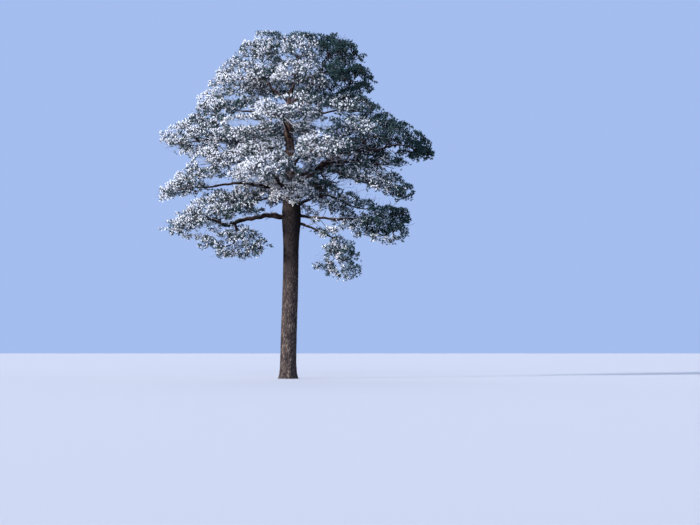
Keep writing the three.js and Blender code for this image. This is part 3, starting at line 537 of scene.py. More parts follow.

# %% [markdown]
# The crown is masses of foliage, each in its own domed space: an ellipsoid with a heading, a tilt, and a
# shallower underside. Where two spaces meet, a point belongs to the mass that it is deeper in. These are the
# source's spaces, with how much rime lies on each: heavy on the windward left and front, little at the right.
# The rime of centre_low and centre_left is set past full, partly rime and partly painted light, so that their
# shaded undersides still come out white.
# Each row gives the limb that carries it, whether it leaves that limb's side, its middle and its reach in
# metres, its heading (None is straight on from the limb) and tilt in degrees, and its rime. Where they aren't
# the usual ones, the share of its reach that its underside keeps follows, and whether it is dense.

# %% The masses' spaces
UNDERSIDE = 0.6
Mass = namedtuple("Mass", "source side middle reach heading tilt rime under dense",
                  defaults=[UNDERSIDE, True])
MASSES = {name: Mass(*row) for name, row in {
    "left_hanging": ("left_lowest", True, (-2.65, -0.45, 6.7), (1.7, 1.3, 1.05), 190, 0, 0.55, 0.85),
    "left_wing": ("left_lowest", False, (-3.8, -0.5, 8.25), (2.3, 1.7, 1.1), None, -17, 0.8),
    "left_outer": ("left_middle", False, (-4.85, -0.35, 9.7), (1.7, 1.4, 0.82), None, -20, 0.9),
    "left_shelf": ("left_rising", False, (-2.75, -1.45, 10.8), (1.9, 1.7, 1.05), None, -6, 0.9),
    "left_inner": ("left_rising", True, (-1.95, -1.95, 12.15), (1.4, 1.5, 0.95), 215, 0, 0.9),
    "left_shoulder": ("left_upper", False, (-4.65, -0.25, 12.05), (1.85, 1.65, 1.1), None, -16, 0.82),
    "left_upper": ("left_high", False, (-3.15, 0.2, 13.75), (1.45, 1.5, 0.9), None, -12, 0.85),
    "left_crest": ("left_crest", True, (-2.25, -0.35, 15.1), (1.45, 1.55, 1.02), 190, -8, 0.9),
    "top_left": ("left_crest", False, (-1.2, -0.35, 16.25), (1.2, 1.35, 1.15), 175, 0, 0.76),
    "top": (15.7, False, (0.65, -0.15, 16.35), (1.35, 1.4, 0.98), 0, 0, 0.62),
    "top_right": ("right_crest", True, (2.25, -0.05, 16.45), (1.3, 1.35, 0.9), 5, -6, -0.02),
    "right_crest": ("right_crest", False, (2.75, -0.1, 15.1), (1.6, 1.7, 1.1), None, -8, 0.02),
    "right_upper": ("right_high", False, (3.15, -0.2, 13.5), (1.45, 1.55, 0.75), None, -6, 0.5),
    "right_shoulder": ("right_shoulder", True, (3.85, -0.9, 12.15), (1.6, 1.65, 0.9), -10, 0, 0.56),
    "right_outer": ("right_shoulder", False, (5.6, 0.0, 12.0), (2.0, 1.5, 0.88), None, -28, 0.19),
    "right_ledge": ("right_outer", False, (4.55, 0.5, 10.9), (1.6, 1.45, 0.6), None, -4, 0.35),
    "right_droop": ("right_droop", False, (4.45, -0.5, 9.75), (1.95, 1.5, 0.85), None, -16, 0.68),
    "right_low_inner": ("right_low", True, (1.85, -1.15, 9.75), (1.15, 1.2, 0.75), -20, 0, 0.19),
    "right_low": ("right_low", False, (3.15, -0.7, 8.6), (1.5, 1.3, 0.9), None, -8, 0.38),
    "right_low_outer": ("right_lower", False, (4.85, 0.0, 7.9), (1.35, 1.4, 1.2), None, -6, 0.15, 0.85),
    "right_hanging": ("right_lowest", False, (2.5, 0.25, 6.05), (1.15, 1.2, 1.25), 10, 0, 0.42, 0.9, False),
    # Rime past full here is partly painted light: it whitens the shaded undersides of the centre masses.
    "centre_low": (9.35, False, (0.25, -1.35, 9.25), (1.15, 1.2, 0.95), -90, 0, 1.45),
    "front_left": ("front_low", False, (-0.95, -3.5, 10.05), (1.65, 1.6, 0.9), None, -6, 1.02),
    "centre_left": (10.7, False, (-1.05, -1.9, 11.05), (1.15, 1.15, 0.85), -120, 0, 1.35),
    "right_inner": ("front_middle", True, (1.6, -1.7, 12.05), (1.3, 1.3, 0.9), -40, 0, 0.7),
    "front_right": ("front_middle", False, (1.85, -3.45, 11.05), (1.55, 1.6, 0.9), None, -6, 0.75),
    "front_high": ("front_high", False, (-0.45, -2.9, 12.9), (1.55, 1.55, 0.9), None, -4, 0.95),
    "centre_upper": (12.9, False, (0.75, -1.25, 13.45), (1.15, 1.2, 0.8), -60, 0, 0.8),
    "centre_high": (14.3, False, (0.6, -1.35, 14.95), (1.3, 1.3, 0.85), -60, 0, 0.92),
    "back_left_low": ("back_low", True, (-1.9, 2.8, 9.25), (1.7, 1.6, 0.9), 140, -8, 0.7),
    "back_low": ("back_low", False, (0.15, 3.95, 9.75), (1.65, 1.7, 0.95), None, -10, 0.6),
    "back_right_low": ("back_right", True, (2.0, 3.5, 10.35), (1.55, 1.55, 0.9), 60, -6, 0.4),
    "back_right": ("back_right", False, (3.3, 2.65, 11.5), (1.8, 1.65, 0.95), None, -6, 0.25),
    "back_left": ("back_left", False, (-2.95, 2.45, 11.8), (1.95, 1.7, 1.0), None, -8, 0.75),
    "back_middle": ("back_left", True, (-0.25, 3.55, 12.5), (1.7, 1.7, 1.0), 80, -6, 0.6),
    "back_crown_right": ("back_high", False, (1.75, 2.2, 14.45), (1.65, 1.6, 1.05), None, -6, 0.3),
    "back_crown_left": ("back_high", True, (-1.05, 2.0, 14.9), (1.65, 1.6, 1.05), 150, -4, 0.6),
}.items()}

# %% The spaces' middles, reaches and axes
NODES = [f"mass_{name}" for name in MASSES]
MIDDLE, REACH, UNDER, RIMED, TILT = [np.array([getattr(mass, field) for mass in MASSES.values()])
                                     for field in ("middle", "reach", "under", "rime", "tilt")]
SEAT = np.array([leaving_point(mass.source, FORK_SHARE if mass.side else 1.0) for mass in MASSES.values()])
HEADING = np.array([
    math.atan2(*(MIDDLE[m] - SEAT[m])[1::-1]) if mass.heading is None else math.radians(mass.heading)
    for m, mass in enumerate(MASSES.values())
])
TILT = np.radians(TILT)
LEVEL = np.stack([np.cos(HEADING), np.sin(HEADING), 0 * HEADING], axis=-1)
ALONG = LEVEL * np.cos(TILT)[:, None] + UP * np.sin(TILT)[:, None]
ACROSS = np.stack([-LEVEL[:, 1], LEVEL[:, 0], 0 * HEADING], axis=-1)
RISING = np.cross(ALONG, ACROSS)
print(len(MASSES), "masses, with reaches of", REACH.min(), "to", REACH.max(), "m")

# %% Places in a space, and shares of it
SPACE_LIMIT, UNDER_LIMIT, BLEND = 1.12, 1.3, 4.0
EVERY_MASS = slice(None)


def point_in(m, parts):
    """Points of mass m from shares of its reach along, across and up, with the underside drawn in."""
    up = parts[..., 2:] * np.where(parts[..., 2:] < 0, UNDER[m], 1)
    return (MIDDLE[m] + parts[..., :1] * REACH[m, 0] * ALONG[m] + parts[..., 1:2] * REACH[m, 1] * ACROSS[m]
            + up * REACH[m, 2] * RISING[m])


def metres_in(m, points):
    """How far points are from the middle of mass m along, across and up its own axes, and its reach up or
    down there."""
    along, across, up = [((points - MIDDLE[m]) * axis[m]).sum(-1) for axis in (ALONG, ACROSS, RISING)]
    return along, across, up, REACH[m, 2] * np.where(up < 0, UNDER[m], 1)


def shares(points):
    """How far out of every mass's middle each point is, as a share of its reach: 1 on its surface."""
    along, across, up, tall = metres_in(EVERY_MASS, points[:, None])
    return np.sqrt((along / REACH[:, 0])**2 + (across / REACH[:, 1])**2 + (up / tall)**2)


def blended(every):
    """One share for all masses together, by a soft minimum: it runs on across the groove between two."""
    return -np.log(np.exp(-BLEND * every).sum(axis=1)) / BLEND


def below_middle(m, points):
    """How far each point is under the middle of its mass, as a share of the reach that way, and how far out
    it is level with it."""
    along, across, up, _ = metres_in(m, points)
    return -up / (REACH[m, 2] * UNDER[m]), np.hypot(along / REACH[m, 0], across / REACH[m, 1])


def own_share(m, points):
    """The crown's share where mass m is the nearest, or infinity where a neighbour is or outside it."""
    every = shares(points)
    share = blended(every)
    limit = np.where(below_middle(m, points)[0] > 0, UNDER_LIMIT, SPACE_LIMIT)
    return np.where((share < limit) & (every.argmin(axis=1) == m), share, np.inf)


print("shares at the foot of each mass's stem: up to", shares(SEAT).diagonal().max().round(2))

# %% [markdown]
# Each mass grows from one stem that carries on from its bough's end, or leaves the trunk or the bough's side.
# The stem is a Bezier curve that runs under the middle of the mass and ends short of its far side.

# %% The stems
STEM_ONWARD, STEM_END, STEM_LOW, STEM_LIFT, STEM_TURN = 0.3, 0.5, 0.3, 0.15, 0.3
STEM_SHARE, STEM_MOST, STEM_THIN, STEM_CLEARANCE = 0.8, 0.062, 0.45, 0.0003


def stem_of(m, mass):
    """A cubic Bezier from the seat, first onward, then under the middle, to the far side; and its girths."""
    at_tip = mass.source == TRUNK_TIP or (not mass.side and not isinstance(mass.source, float))
    source = "trunk" if isinstance(mass.source, float) else mass.source
    end = point_in(m, np.array([STEM_END, 0, -STEM_LIFT]))
    below = point_in(m, np.array([-STEM_END, 0, -STEM_LOW]))
    line = limb_lines[source]
    onward = unit(line[-1] - line[-3]) if at_tip else unit(below - SEAT[m])
    start = SEAT[m] + (STEM_CLEARANCE * onward if at_tip else 0)
    bend = start + onward * STEM_ONWARD * np.linalg.norm(end - start)
    turn = below + (end - below) * STEM_TURN
    t = EVEN[:, None]
    curve = (1 - t)**3 * start + 3 * (1 - t)**2 * t * bend + 3 * (1 - t) * t**2 * turn + t**3 * end
    foot = limb_girths[source][-1] if at_tip else min(STEM_MOST, STEM_SHARE * np.interp(
        FORK_SHARE, EVEN, limb_girths[source]))
    return evened(curve), foot * (1 - (1 - STEM_THIN) * EVEN)


stem_lines, stem_girths = zip(*[stem_of(m, mass) for m, mass in enumerate(MASSES.values())])
print("stems:", round(sum(length_of(line) for line in stem_lines), 1), "m")

# %% [markdown]
# Twigs branch by the source's rule: a new twig reaches its end from whichever point grown so far makes the
# twig's own length, plus a share of the way back to the stem's foot, least. Real pines do much the same,
# and it takes no simulation. The first six twigs of a mass are the source's, and all leave its stem. A later
# twig can leave any of the few points that each piece of wood offers.

# %% Twigs by the cheapest way
THRIFT, TWIG_ALONG, TWIG_SAG, ONWARD_STEP = 0.55, 0.18, 0.08, 0.05
FIRST_TWIGS, FIRST_SHARE, FIRST_SHARE_OPEN, FIRST_LOWEST = 6, 0.42, 0.6, -0.4
FIRST_GIRTH, FIRST_THIN, FIRST_RINGS, FIRST_CLEAR = 0.026, 0.65, 9, 0.02
STEM_LEAVES, FIRST_LEAVES, PAD_LEAVES, CLUMP_LEAVES, BOUGH_LEAVES = 4, 3, 3, 2, 16
TWIG_RINGS, SPANS, LIMB_MARGIN = 5, np.linspace(0, 1, 17), 0.05


class Wood:
    """What has grown in a mass so far: points, the way back to the stem's foot, headings and girths."""

    def __init__(self):
        self.at, self.onward = np.zeros((0, 3)), np.zeros((0, 3))
        self.back, self.girth = np.zeros(0), np.zeros(0)

    def lengthen(self, line, girths, back, count):
        """Adds points at even steps along a line, without its foot."""
        share = np.arange(1, count + 1) / count
        at = at_share(line, share)
        self.at = np.vstack([self.at, at])
        self.onward = np.vstack([self.onward, unit(at - at_share(line, share - ONWARD_STEP))])
        self.back = np.concatenate([self.back, back + share * length_of(line)])
        self.girth = np.concatenate([self.girth, np.interp(share, np.linspace(0, 1, len(girths)), girths)])

    def twig_to(self, end, rings):
        """A quadratic Bezier to the end from the cheapest point, bent onward and sagging; and that point."""
        reach = np.linalg.norm(self.at - end, axis=1)
        best = int(np.argmin(reach + THRIFT * self.back))
        start = self.at[best]
        bend = (start + end) / 2 + TWIG_ALONG * reach[best] * self.onward[best] - TWIG_SAG * reach[best] * UP
        t = np.linspace(0, 1, rings)[:, None]
        return (1 - t)**2 * start + 2 * t * (1 - t) * bend + t**2 * end, best

    def grow_to(self, end, count, girth_most, girth_end):
        """Grows a twig to the end, no thicker than its share of the wood it leaves. Returns it as a tube."""
        line, best = self.twig_to(end, TWIG_RINGS)
        foot = min(girth_most, STEM_SHARE * self.girth[best])
        girths = np.linspace(foot, min(foot, girth_end), TWIG_RINGS)
        self.lengthen(line, girths, self.back[best], count)
        return line, girths


span_knots = [at_share(line, SPANS) for line in limb_lines.values()]
SPAN_START = np.concatenate([knots[:-1] for knots in span_knots])
SPAN_REACH = np.concatenate([knots[1:] for knots in span_knots]) - SPAN_START
SPAN_GIRTH = np.concatenate([np.interp(SPANS[:-1], EVEN, girth) for girth in limb_girths.values()])


def clear_of_limbs(points, margin):
    """True where a point is further than the margin from the bark of the trunk and every bough, which stand
    here as straight spans."""
    away = points[:, None] - SPAN_START
    t = np.clip((away * SPAN_REACH).sum(-1) / (SPAN_REACH * SPAN_REACH).sum(-1), 0, 1)
    return (np.linalg.norm(away - t[..., None] * SPAN_REACH, axis=-1) - SPAN_GIRTH).min(axis=1) > margin


# %% The first twigs
woods, first_twigs = [], []
for m, mass in enumerate(MASSES.values()):
    wood = Wood()
    wood.lengthen(stem_lines[m], stem_girths[m], 0.0, STEM_LEAVES)
    ends = point_in(m, directions(m + 1, np.arange(FIRST_TWIGS), FIRST_LOWEST)
                    * (FIRST_SHARE if mass.dense else FIRST_SHARE_OPEN))
    for end, (line, best) in [(end, wood.twig_to(end, FIRST_RINGS)) for end in ends]:
        if np.isfinite(own_share(m, end[None]))[0] and clear_of_limbs(line[2:], FIRST_CLEAR).all():
            girths = FIRST_GIRTH * np.linspace(1, FIRST_THIN, FIRST_RINGS)
            first_twigs.append((line, girths))
            wood.lengthen(line, girths, wood.back[best], FIRST_LEAVES)
    woods.append(wood)
print(len(first_twigs), "first twigs")

# %% [markdown]
# Seen close, a mass isn't one dome but a heap of pads, each the foliage of one side branch: flat, leaning
# its own way, bright on top and bare beneath. Two finer rounds of the same rule make them. First each mass
# gets pads at an even spread of places under the crown's surface, with the first two at its far end and at
# its top; then each pad gets clumps over its own dome. A place that another has taken is passed over. The
# open masses have fewer pads, further apart, and sky between them. Two green masses carry more rime on the
# pads of their windward side, which are those left of a place.

# %% Pads of a mass
PADS_TRIED, PAD_LOWEST, PAD_DEPTH, PAD_VARY, LOW_DEPTH = 100, -0.9, 0.40, 0.14, 0.14
PAD_APART, PAD_BREADTH, PAD_RISE, PAD_LEAN = 0.56, (0.40, 0.66), 0.72, 0.42
OPEN_MASSES = {"right_hanging": 0.25, "left_hanging": 0.25, "right_low": 0.3, "right_low_outer": 0.1,
               "right_ledge": 0.4}
OPEN_APART, OPEN_SMALLER, SURFACE_STEPS = 0.35, 0.3, 6
BARE_UNDER, BARE_WITHIN, BARE_CHANCE, BARE_TWIGLETS = 0.3, 0.62, 0.75, 4
OUTERMOST = np.array([[1, 0, 0], [0, 0, 1]], float)
WINDWARD_RIME = {"right_crest": (1.95, 0.75), "right_low_outer": (4.1, 0.2)}
Pad = namedtuple("Pad", "mass middle breadth rise lean free bare rime")


def spread_out(tried, apart):
    """The places, in order, that are further than a distance from all those taken before."""
    taken = []
    for spot in tried:
        if all(np.linalg.norm(spot - other) > apart for other in taken):
            taken.append(spot)
    return np.array(taken).reshape(-1, 3)


def reach_of_crown(m, ways):
    """How far each way leads from a mass's middle to the crown's surface, by steps until its share is 1."""
    far = np.ones(len(ways))
    for _ in range(SURFACE_STEPS):
        far += 1 - blended(shares(point_in(m, ways * far[:, None])))
    return far


def pads_of(m, name):
    """The pads of a mass: middles by even directions a little under the crown's surface; sizes by chance."""
    seed = m + 1
    index = np.arange(PADS_TRIED)
    ways = directions(seed + 1, index, PAD_LOWEST)
    ways[:len(OUTERMOST)] = OUTERMOST
    depth = np.where(ways[:, 2] > 0, PAD_DEPTH, LOW_DEPTH)
    deep = 1 - depth + PAD_VARY * (2 * chance(seed + 11, index) - 1)
    tried = point_in(m, ways * (reach_of_crown(m, ways) * deep)[:, None])
    tried = tried[np.isfinite(own_share(m, tried)) & clear_of_limbs(tried, 2 * LIMB_MARGIN)]
    openness = OPEN_MASSES.get(name, 0.0)
    taken = spread_out(tried, PAD_APART + OPEN_APART * openness)
    draw = np.arange(len(taken))
    below, level = below_middle(m, taken)
    bare = (below > BARE_UNDER) & (level < BARE_WITHIN)
    bare &= chance(seed + 15, draw) < BARE_CHANCE * (1 - openness)
    breadth = between(PAD_BREADTH, chance(seed + 12, draw)) * (1 - OPEN_SMALLER * openness)
    lean = PAD_LEAN * (2 * np.stack([chance(seed + 13, draw), chance(seed + 14, draw)], axis=-1) - 1)
    left_of, more = WINDWARD_RIME.get(name, (0.0, 0.0))
    rime = np.where(taken[:, 0] < left_of, more, 0.0)
    rows = zip(taken, breadth, breadth * PAD_RISE, lean, [False] * len(taken), bare, rime)
    return [Pad(m, *row) for row in rows]


def on_pad(pad, parts):
    """Points of a pad from shares of its size: level by its breadth, up by its rise, and leaning."""
    level = parts[..., :2] * pad.breadth
    up = parts[..., 2] * pad.rise + (level * pad.lean).sum(-1)
    return pad.middle + np.concatenate([level, up[..., None]], axis=-1)


def pad_share(pad, points):
    """How far out of a pad's middle each point is, as a share of its size."""
    away = points - pad.middle
    up = (away[:, 2] - (away[:, :2] * pad.lean).sum(-1)) / pad.rise
    return np.sqrt((away[:, :2]**2).sum(-1) / pad.breadth**2 + up**2)


# %% [markdown]
# Between the trunk and its masses a bough isn't bare either: small sprays stand along it on short side
# limbs, as many as the photo shows, thin on the low boughs of the left and many on those of the right. And
# where the photo shows one spray by itself, at the rim of a mass or under a bough, it gets a place of its
# own, since no rule would put it there: where it is, how broad it is, and how much rime it has over its mass.

# %% Sprays along the boughs
SPRAY_STEP, SPRAY_FROM, SPRAY_TO, SPRAY_UNEVEN, SPRAY_CLEAR = 0.34, 0.25, 0.97, 0.7, 0.12
SPRAY_AWAY, SPRAY_LIFT, SPRAY_BREADTH, SPRAY_RIME = (0.35, 0.8), (-0.15, 0.35), (0.2, 0.36), 0.36
SPRAYED = {"right_lower": 1.0, "right_lowest": 0.95, "right_low": 0.9, "left_lowest": 0.12,
           "left_middle": 0.45, "right_droop": 0.5}
SPRAYED_ELSE, ASIDE_STEP = 0.55, 0.03
HANGING_SPRAYS = {"right_lower": 0.75, "right_low": 0.45}
SINGLE_SPRAYS = {
    "right_low_outer": [
        (1.9, -0.2, 8.5, 0.24), (2.4, 0.0, 8.4, 0.24), (2.6, 0.0, 7.8, 0.28), (3.0, 0.2, 7.55, 0.3),
        (3.3, -0.2, 7.3, 0.28), (3.4, 0.1, 7.0, 0.24), (4.4, 0.0, 7.0, 0.26), (4.9, 0.2, 6.85, 0.26),
        (5.35, -0.2, 6.85, 0.26), (5.8, 0.0, 7.05, 0.26), (4.3, -0.5, 8.0, 0.36, 0.1),
        (5.0, -0.5, 8.35, 0.36, 0.1), (5.6, -0.4, 7.8, 0.36, 0.1), (4.8, -0.6, 7.55, 0.34, 0.1),
    ],
    "right_hanging": [
        (1.8, 0.1, 7.2, 0.26), (2.5, 0.3, 6.9, 0.28), (2.4, 0.0, 6.4, 0.32), (2.9, 0.1, 5.8, 0.34, 0.1),
        (1.75, 0.1, 5.5, 0.28), (2.3, 0.3, 5.25, 0.26), (3.1, 0.3, 5.1, 0.24),
    ],
    "left_wing": [
        (-5.55, -0.5, 7.25, 0.28), (-5.1, -0.3, 7.05, 0.28), (-4.7, -0.6, 6.95, 0.28),
        (-4.3, -0.2, 6.95, 0.26), (-2.05, -0.9, 8.25, 0.3, -0.5), (-1.65, -0.8, 8.15, 0.26, -0.5),
    ],
    "left_shoulder": [
        (-5.15, -0.6, 11.1, 0.32), (-6.1, -0.3, 12.08, 0.34, -0.2), (-5.7, -0.5, 11.98, 0.3, -0.1),
        (-5.7, -0.25, 12.45, 0.26), (-5.2, -0.6, 11.5, 0.34), (-4.85, -0.6, 11.25, 0.34),
    ],
    "left_upper": [
        (-4.2, 0.2, 14.1, 0.3), (-3.95, 0.2, 14.35, 0.26),
    ],
    "top_left": [
        (-0.75, -0.3, 17.2, 0.3), (-0.75, -0.8, 17.1, 0.28, -0.4), (-0.6, -1.0, 16.8, 0.26, -0.4),
    ],
    "top": [
        (1.5, -0.1, 17.05, 0.3, -0.3), (0.35, -0.5, 17.12, 0.26, -0.6), (0.85, -0.6, 17.05, 0.3, -0.6),
        (1.65, -0.8, 15.9, 0.3, -0.25), (1.6, -0.8, 15.5, 0.26, -0.25), (1.3, -0.7, 16.85, 0.32, -0.6),
        (1.65, -0.8, 16.5, 0.32, -0.6),
    ],
    "right_outer": [
        (5.3, 0.1, 11.25, 0.28),
    ],
    "right_low_inner": [
        (1.0, -1.6, 9.95, 0.3, 1.0), (1.2, -1.6, 9.6, 0.28, 1.0), (2.45, -1.3, 9.3, 0.34, 0.28),
        (2.1, -1.4, 9.65, 0.32, 0.2), (2.85, -1.2, 9.0, 0.3, 0.28), (1.95, -1.3, 9.25, 0.28, 0.3),
    ],
    "left_hanging": [
        (-2.9, -0.4, 6.15, 0.26), (-2.3, -0.5, 6.1, 0.28), (-1.75, -0.4, 6.2, 0.24),
    ],
}


def spray(m, at, breadth, bare=False, rime=SPRAY_RIME):
    """A small level pad that may leave its mass's space."""
    return Pad(m, at, breadth, breadth * PAD_RISE, np.zeros(2), True, bare, rime)


def sprays_of(m, source):
    """Small pads beside the bough that carries a mass, on either side in turn, at even steps along it."""
    line = limb_lines[source]
    count = int((SPRAY_TO - SPRAY_FROM) * length_of(line) / SPRAY_STEP)
    draw = np.arange(count)
    step = draw + SPRAY_UNEVEN * chance(m + 0.21, draw)
    share = SPRAY_FROM + (SPRAY_TO - SPRAY_FROM) * step / max(count, 1)
    at, before = at_share(line, share), at_share(line, share - ASIDE_STEP)
    side = unit(np.cross(at - before, UP)) * np.where(draw % 2, 1, -1)[:, None]
    lift = between(SPRAY_LIFT, chance(m + 0.23, draw))
    lift -= HANGING_SPRAYS.get(source, 0) * chance(m + 0.26, draw)
    spot = at + side * between(SPRAY_AWAY, chance(m + 0.22, draw))[:, None] + lift[:, None] * UP
    wide = between(SPRAY_BREADTH, chance(m + 0.24, draw))
    bare = chance(m + 0.25, draw) > SPRAYED.get(source, SPRAYED_ELSE)
    return [spray(m, spot[k], wide[k], bare[k]) for k in np.flatnonzero(clear_of_limbs(spot, SPRAY_CLEAR))]


# %% [markdown]
# Each pad is then reached by a twig, nearest first, and each of its clumps by a finer one that leaves the
# wood grown so far. A bare pad, on the shaded underside, gets a few twigs and no foliage.

# %% Twigs to every pad and clump
PAD_GIRTH, PAD_END_GIRTH, PAD_FOOT = 0.022, 0.012, np.array([0, 0, -0.3])
CLUMPS_TRIED, CLUMP_APART, CLUMP_LOWEST, CLUMP_SHARE = 60, 0.25, -0.2, 0.62
CLUMP_GIRTH, CLUMP_END_GIRTH = 0.010, 0.005
pads, fine_twigs, fine_mass, clumps, clump_pad = [], [], [], [], []
for m, (wood, (name, mass)) in enumerate(zip(woods, MASSES.items())):
    here = pads_of(m, name) + [spray(m, np.array(row[:3]), row[3], False, *row[4:])
                               for row in SINGLE_SPRAYS.get(name, [])]
    if isinstance(mass.source, str) and not mass.side:
        here += sprays_of(m, mass.source)
        outer = EVEN > SPRAY_FROM
        wood.lengthen(limb_lines[mass.source][outer], limb_girths[mass.source][outer], 0.0, BOUGH_LEAVES)
    for pad in sorted(here, key=lambda pad: np.linalg.norm(wood.at - pad.middle, axis=1).min()):
        foot = on_pad(pad, PAD_FOOT)
        fine_twigs.append(wood.grow_to(foot, PAD_LEAVES, PAD_GIRTH, PAD_END_GIRTH))
        ways = directions(len(pads) + 0.7, np.arange(CLUMPS_TRIED), CLUMP_LOWEST)
        tried = on_pad(pad, ways * CLUMP_SHARE)
        tried = tried[(np.isfinite(own_share(m, tried)) | pad.free) & clear_of_limbs(tried, LIMB_MARGIN)]
        places = spread_out(tried, CLUMP_APART)[:BARE_TWIGLETS if pad.bare else None]
        for spot in places:
            fine_twigs.append(wood.grow_to(spot, CLUMP_LEAVES, CLUMP_GIRTH, CLUMP_END_GIRTH))
            if not pad.bare:
                clumps.append(spot)
                clump_pad.append(len(pads))
        fine_mass += [m] * (1 + len(places))
        pads.append(pad)
clumps, clump_pad, fine_mass = np.array(clumps), np.array(clump_pad), np.array(fine_mass)
pad_mass, pad_middle, pad_free, pad_rime = [np.array([getattr(pad, field) for pad in pads])
                                            for field in ("mass", "middle", "free", "rime")]
print(len(pads), "pads,", len(clumps), "clumps,", len(fine_twigs), "fine twigs")

# %% [markdown]
# The photo shows sky or bare wood through the crown in places where the rule would put foliage. Each gap is
# an ellipse on the plane of the trunk, given by its middle, half width and half height in metres, and is seen
# from where the photo was taken, so the camera's place is settled here. Whatever stands on a line of sight
# through a gap is left out, before and behind the trunk alike, or only before it where more foliage closes
# the view behind.

# %% Gaps in the crown
CAMERA_PLACE = np.array([3.1, -82.6, 1.6])
FRAYED, FRAY_SEED, EDGE_WAVES = 0.6, 1.3, ((0.3, 3, 7), (0.2, 5, 9))
LONELY_WITHIN, COMPANY = 0.4, 4
GAPS = [
    (0.05, 15.1, 0.16, 0.14), (-2.85, 14.1, 0.4, 0.17), (-2.1, 13.45, 0.4, 0.16),
    (-2.45, 12.85, 0.95, 0.2), (2.0, 13.4, 0.36, 0.3), (1.75, 12.8, 0.6, 0.2), (-3.3, 11.6, 0.28, 0.28),
    (-4.4, 11.0, 0.3, 0.22), (-3.6, 9.8, 0.72, 0.32), (1.95, 10.15, 0.6, 0.2), (2.7, 9.8, 0.6, 0.27),
    (3.4, 9.55, 0.6, 0.28), (4.15, 9.2, 0.6, 0.28), (4.9, 8.88, 0.6, 0.24), (5.75, 8.72, 0.55, 0.18),
    (0.85, 8.95, 0.22, 0.18), (-1.15, 9.05, 0.2, 0.25), (-1.3, 8.7, 0.36, 0.22), (-2.3, 17.35, 0.6, 0.4),
    (3.3, 17.3, 0.75, 0.32), (-5.35, 8.85, 0.5, 0.28), (-6.0, 8.28, 0.38, 0.36), (-5.45, 8.5, 0.4, 0.2),
    (-6.45, 11.38, 0.85, 0.44), (-5.65, 11.52, 0.24, 0.26), (-4.2, 10.75, 0.35, 0.22),
    (1.4, 6.22, 0.52, 0.5), (4.05, 5.95, 0.35, 0.3), (1.05, 7.65, 0.45, 0.3), (-3.9, 6.1, 0.4, 0.45),
    (-6.4, 12.66, 0.4, 0.2), (-3.45, 7.0, 0.3, 0.14), (5.95, 10.6, 0.36, 0.2),
]
FRONT_GAPS = [
    (0.12, 11.9, 0.36, 0.85), (-0.1, 13.95, 0.75, 0.2), (0.95, 10.2, 0.4, 0.2), (1.6, 10.6, 0.45, 0.2),
    (2.3, 10.9, 0.5, 0.22), (3.1, 11.05, 0.5, 0.2), (-1.15, 9.45, 0.4, 0.2), (0.1, 10.2, 0.3, 0.3),
]


def in_gap(points):
    """True where a point lies on a line of sight that the photo shows open. The point is carried along its
    own line from the camera to the plane of the trunk, and tried against each gap's ellipse there, whose
    edge waves with the turn about it and is frayed by chance. Front gaps keep what is behind the trunk."""
    onto = -CAMERA_PLACE[1] / (points[:, 1] - CAMERA_PLACE[1])
    x = CAMERA_PLACE[0] + (points[:, 0] - CAMERA_PLACE[0]) * onto
    z = CAMERA_PLACE[2] + (points[:, 2] - CAMERA_PLACE[2]) * onto
    found = np.zeros(len(points), bool)
    frayed = 1 + FRAYED * (chance(FRAY_SEED, np.arange(len(points))) - 0.5)
    for number, (gap_x, gap_z, wide, tall) in enumerate(GAPS + FRONT_GAPS):
        turn = np.arctan2(z - gap_z, x - gap_x)
        edge = 1
        for (high, waves, shift), at in zip(EDGE_WAVES, (gap_x, gap_z)):
            edge = edge + high * np.sin(waves * turn + shift * at)
        inside = ((x - gap_x) / wide)**2 + ((z - gap_z) / tall)**2 < edge * frayed
        found |= inside & ((points[:, 1] < 0) | (number < len(GAPS)))
    return found


def lonely(points):
    """True where a point has too little company, as a shoot left over at the edge of a gap has. Company is
    counted in cubes and in the same cubes moved on by thirds of their side, and the fullest one tells."""
    most = np.zeros(len(points), int)
    for moved in np.ndindex(3, 3, 3):
        cube = np.floor(points / LONELY_WITHIN + np.array(moved) / 3).astype(int)
        _, which, held = np.unique(cube, axis=0, return_inverse=True, return_counts=True)
        most = np.maximum(most, held[which.ravel()])
    return most < COMPANY


print(len(GAPS), "gaps right through,", len(FRONT_GAPS), "in front,", in_gap(clumps).sum(), "clumps in them")

# %% [markdown]
# A clump is a broom of shoots. Fans spread from it over a dome that faces out of the pad and up, as shoots
# do towards the light; each fan is a main shoot with two side shoots. All fans of all clumps are worked out
# together, as arrays of roots and tips.

# %% Fans of shoots
FANS, FAN_LOWEST, FAN_REACH, FAN_LENGTHS, STEEP_WAY = 6, 0.1, 0.24, (0.82, 0.36), 0.9
CLUMP_OUT, CLUMP_UP, FLATTEN = 0.8, 0.45, np.array([1.0, 1.0, 0.9])
SIDE_LEAVES, SIDE_SPREAD, SIDE_REACH, SIDE_UNEVEN = 0.45, 0.75, 0.88, 0.12


def beside(direction):
    """Two unit vectors square to each direction and to each other."""
    steep = np.abs(direction[..., 2:]) > STEEP_WAY
    first = unit(np.cross(np.where(steep, np.array([1.0, 0.0, 0.0]), UP), direction))
    return first, np.cross(direction, first)


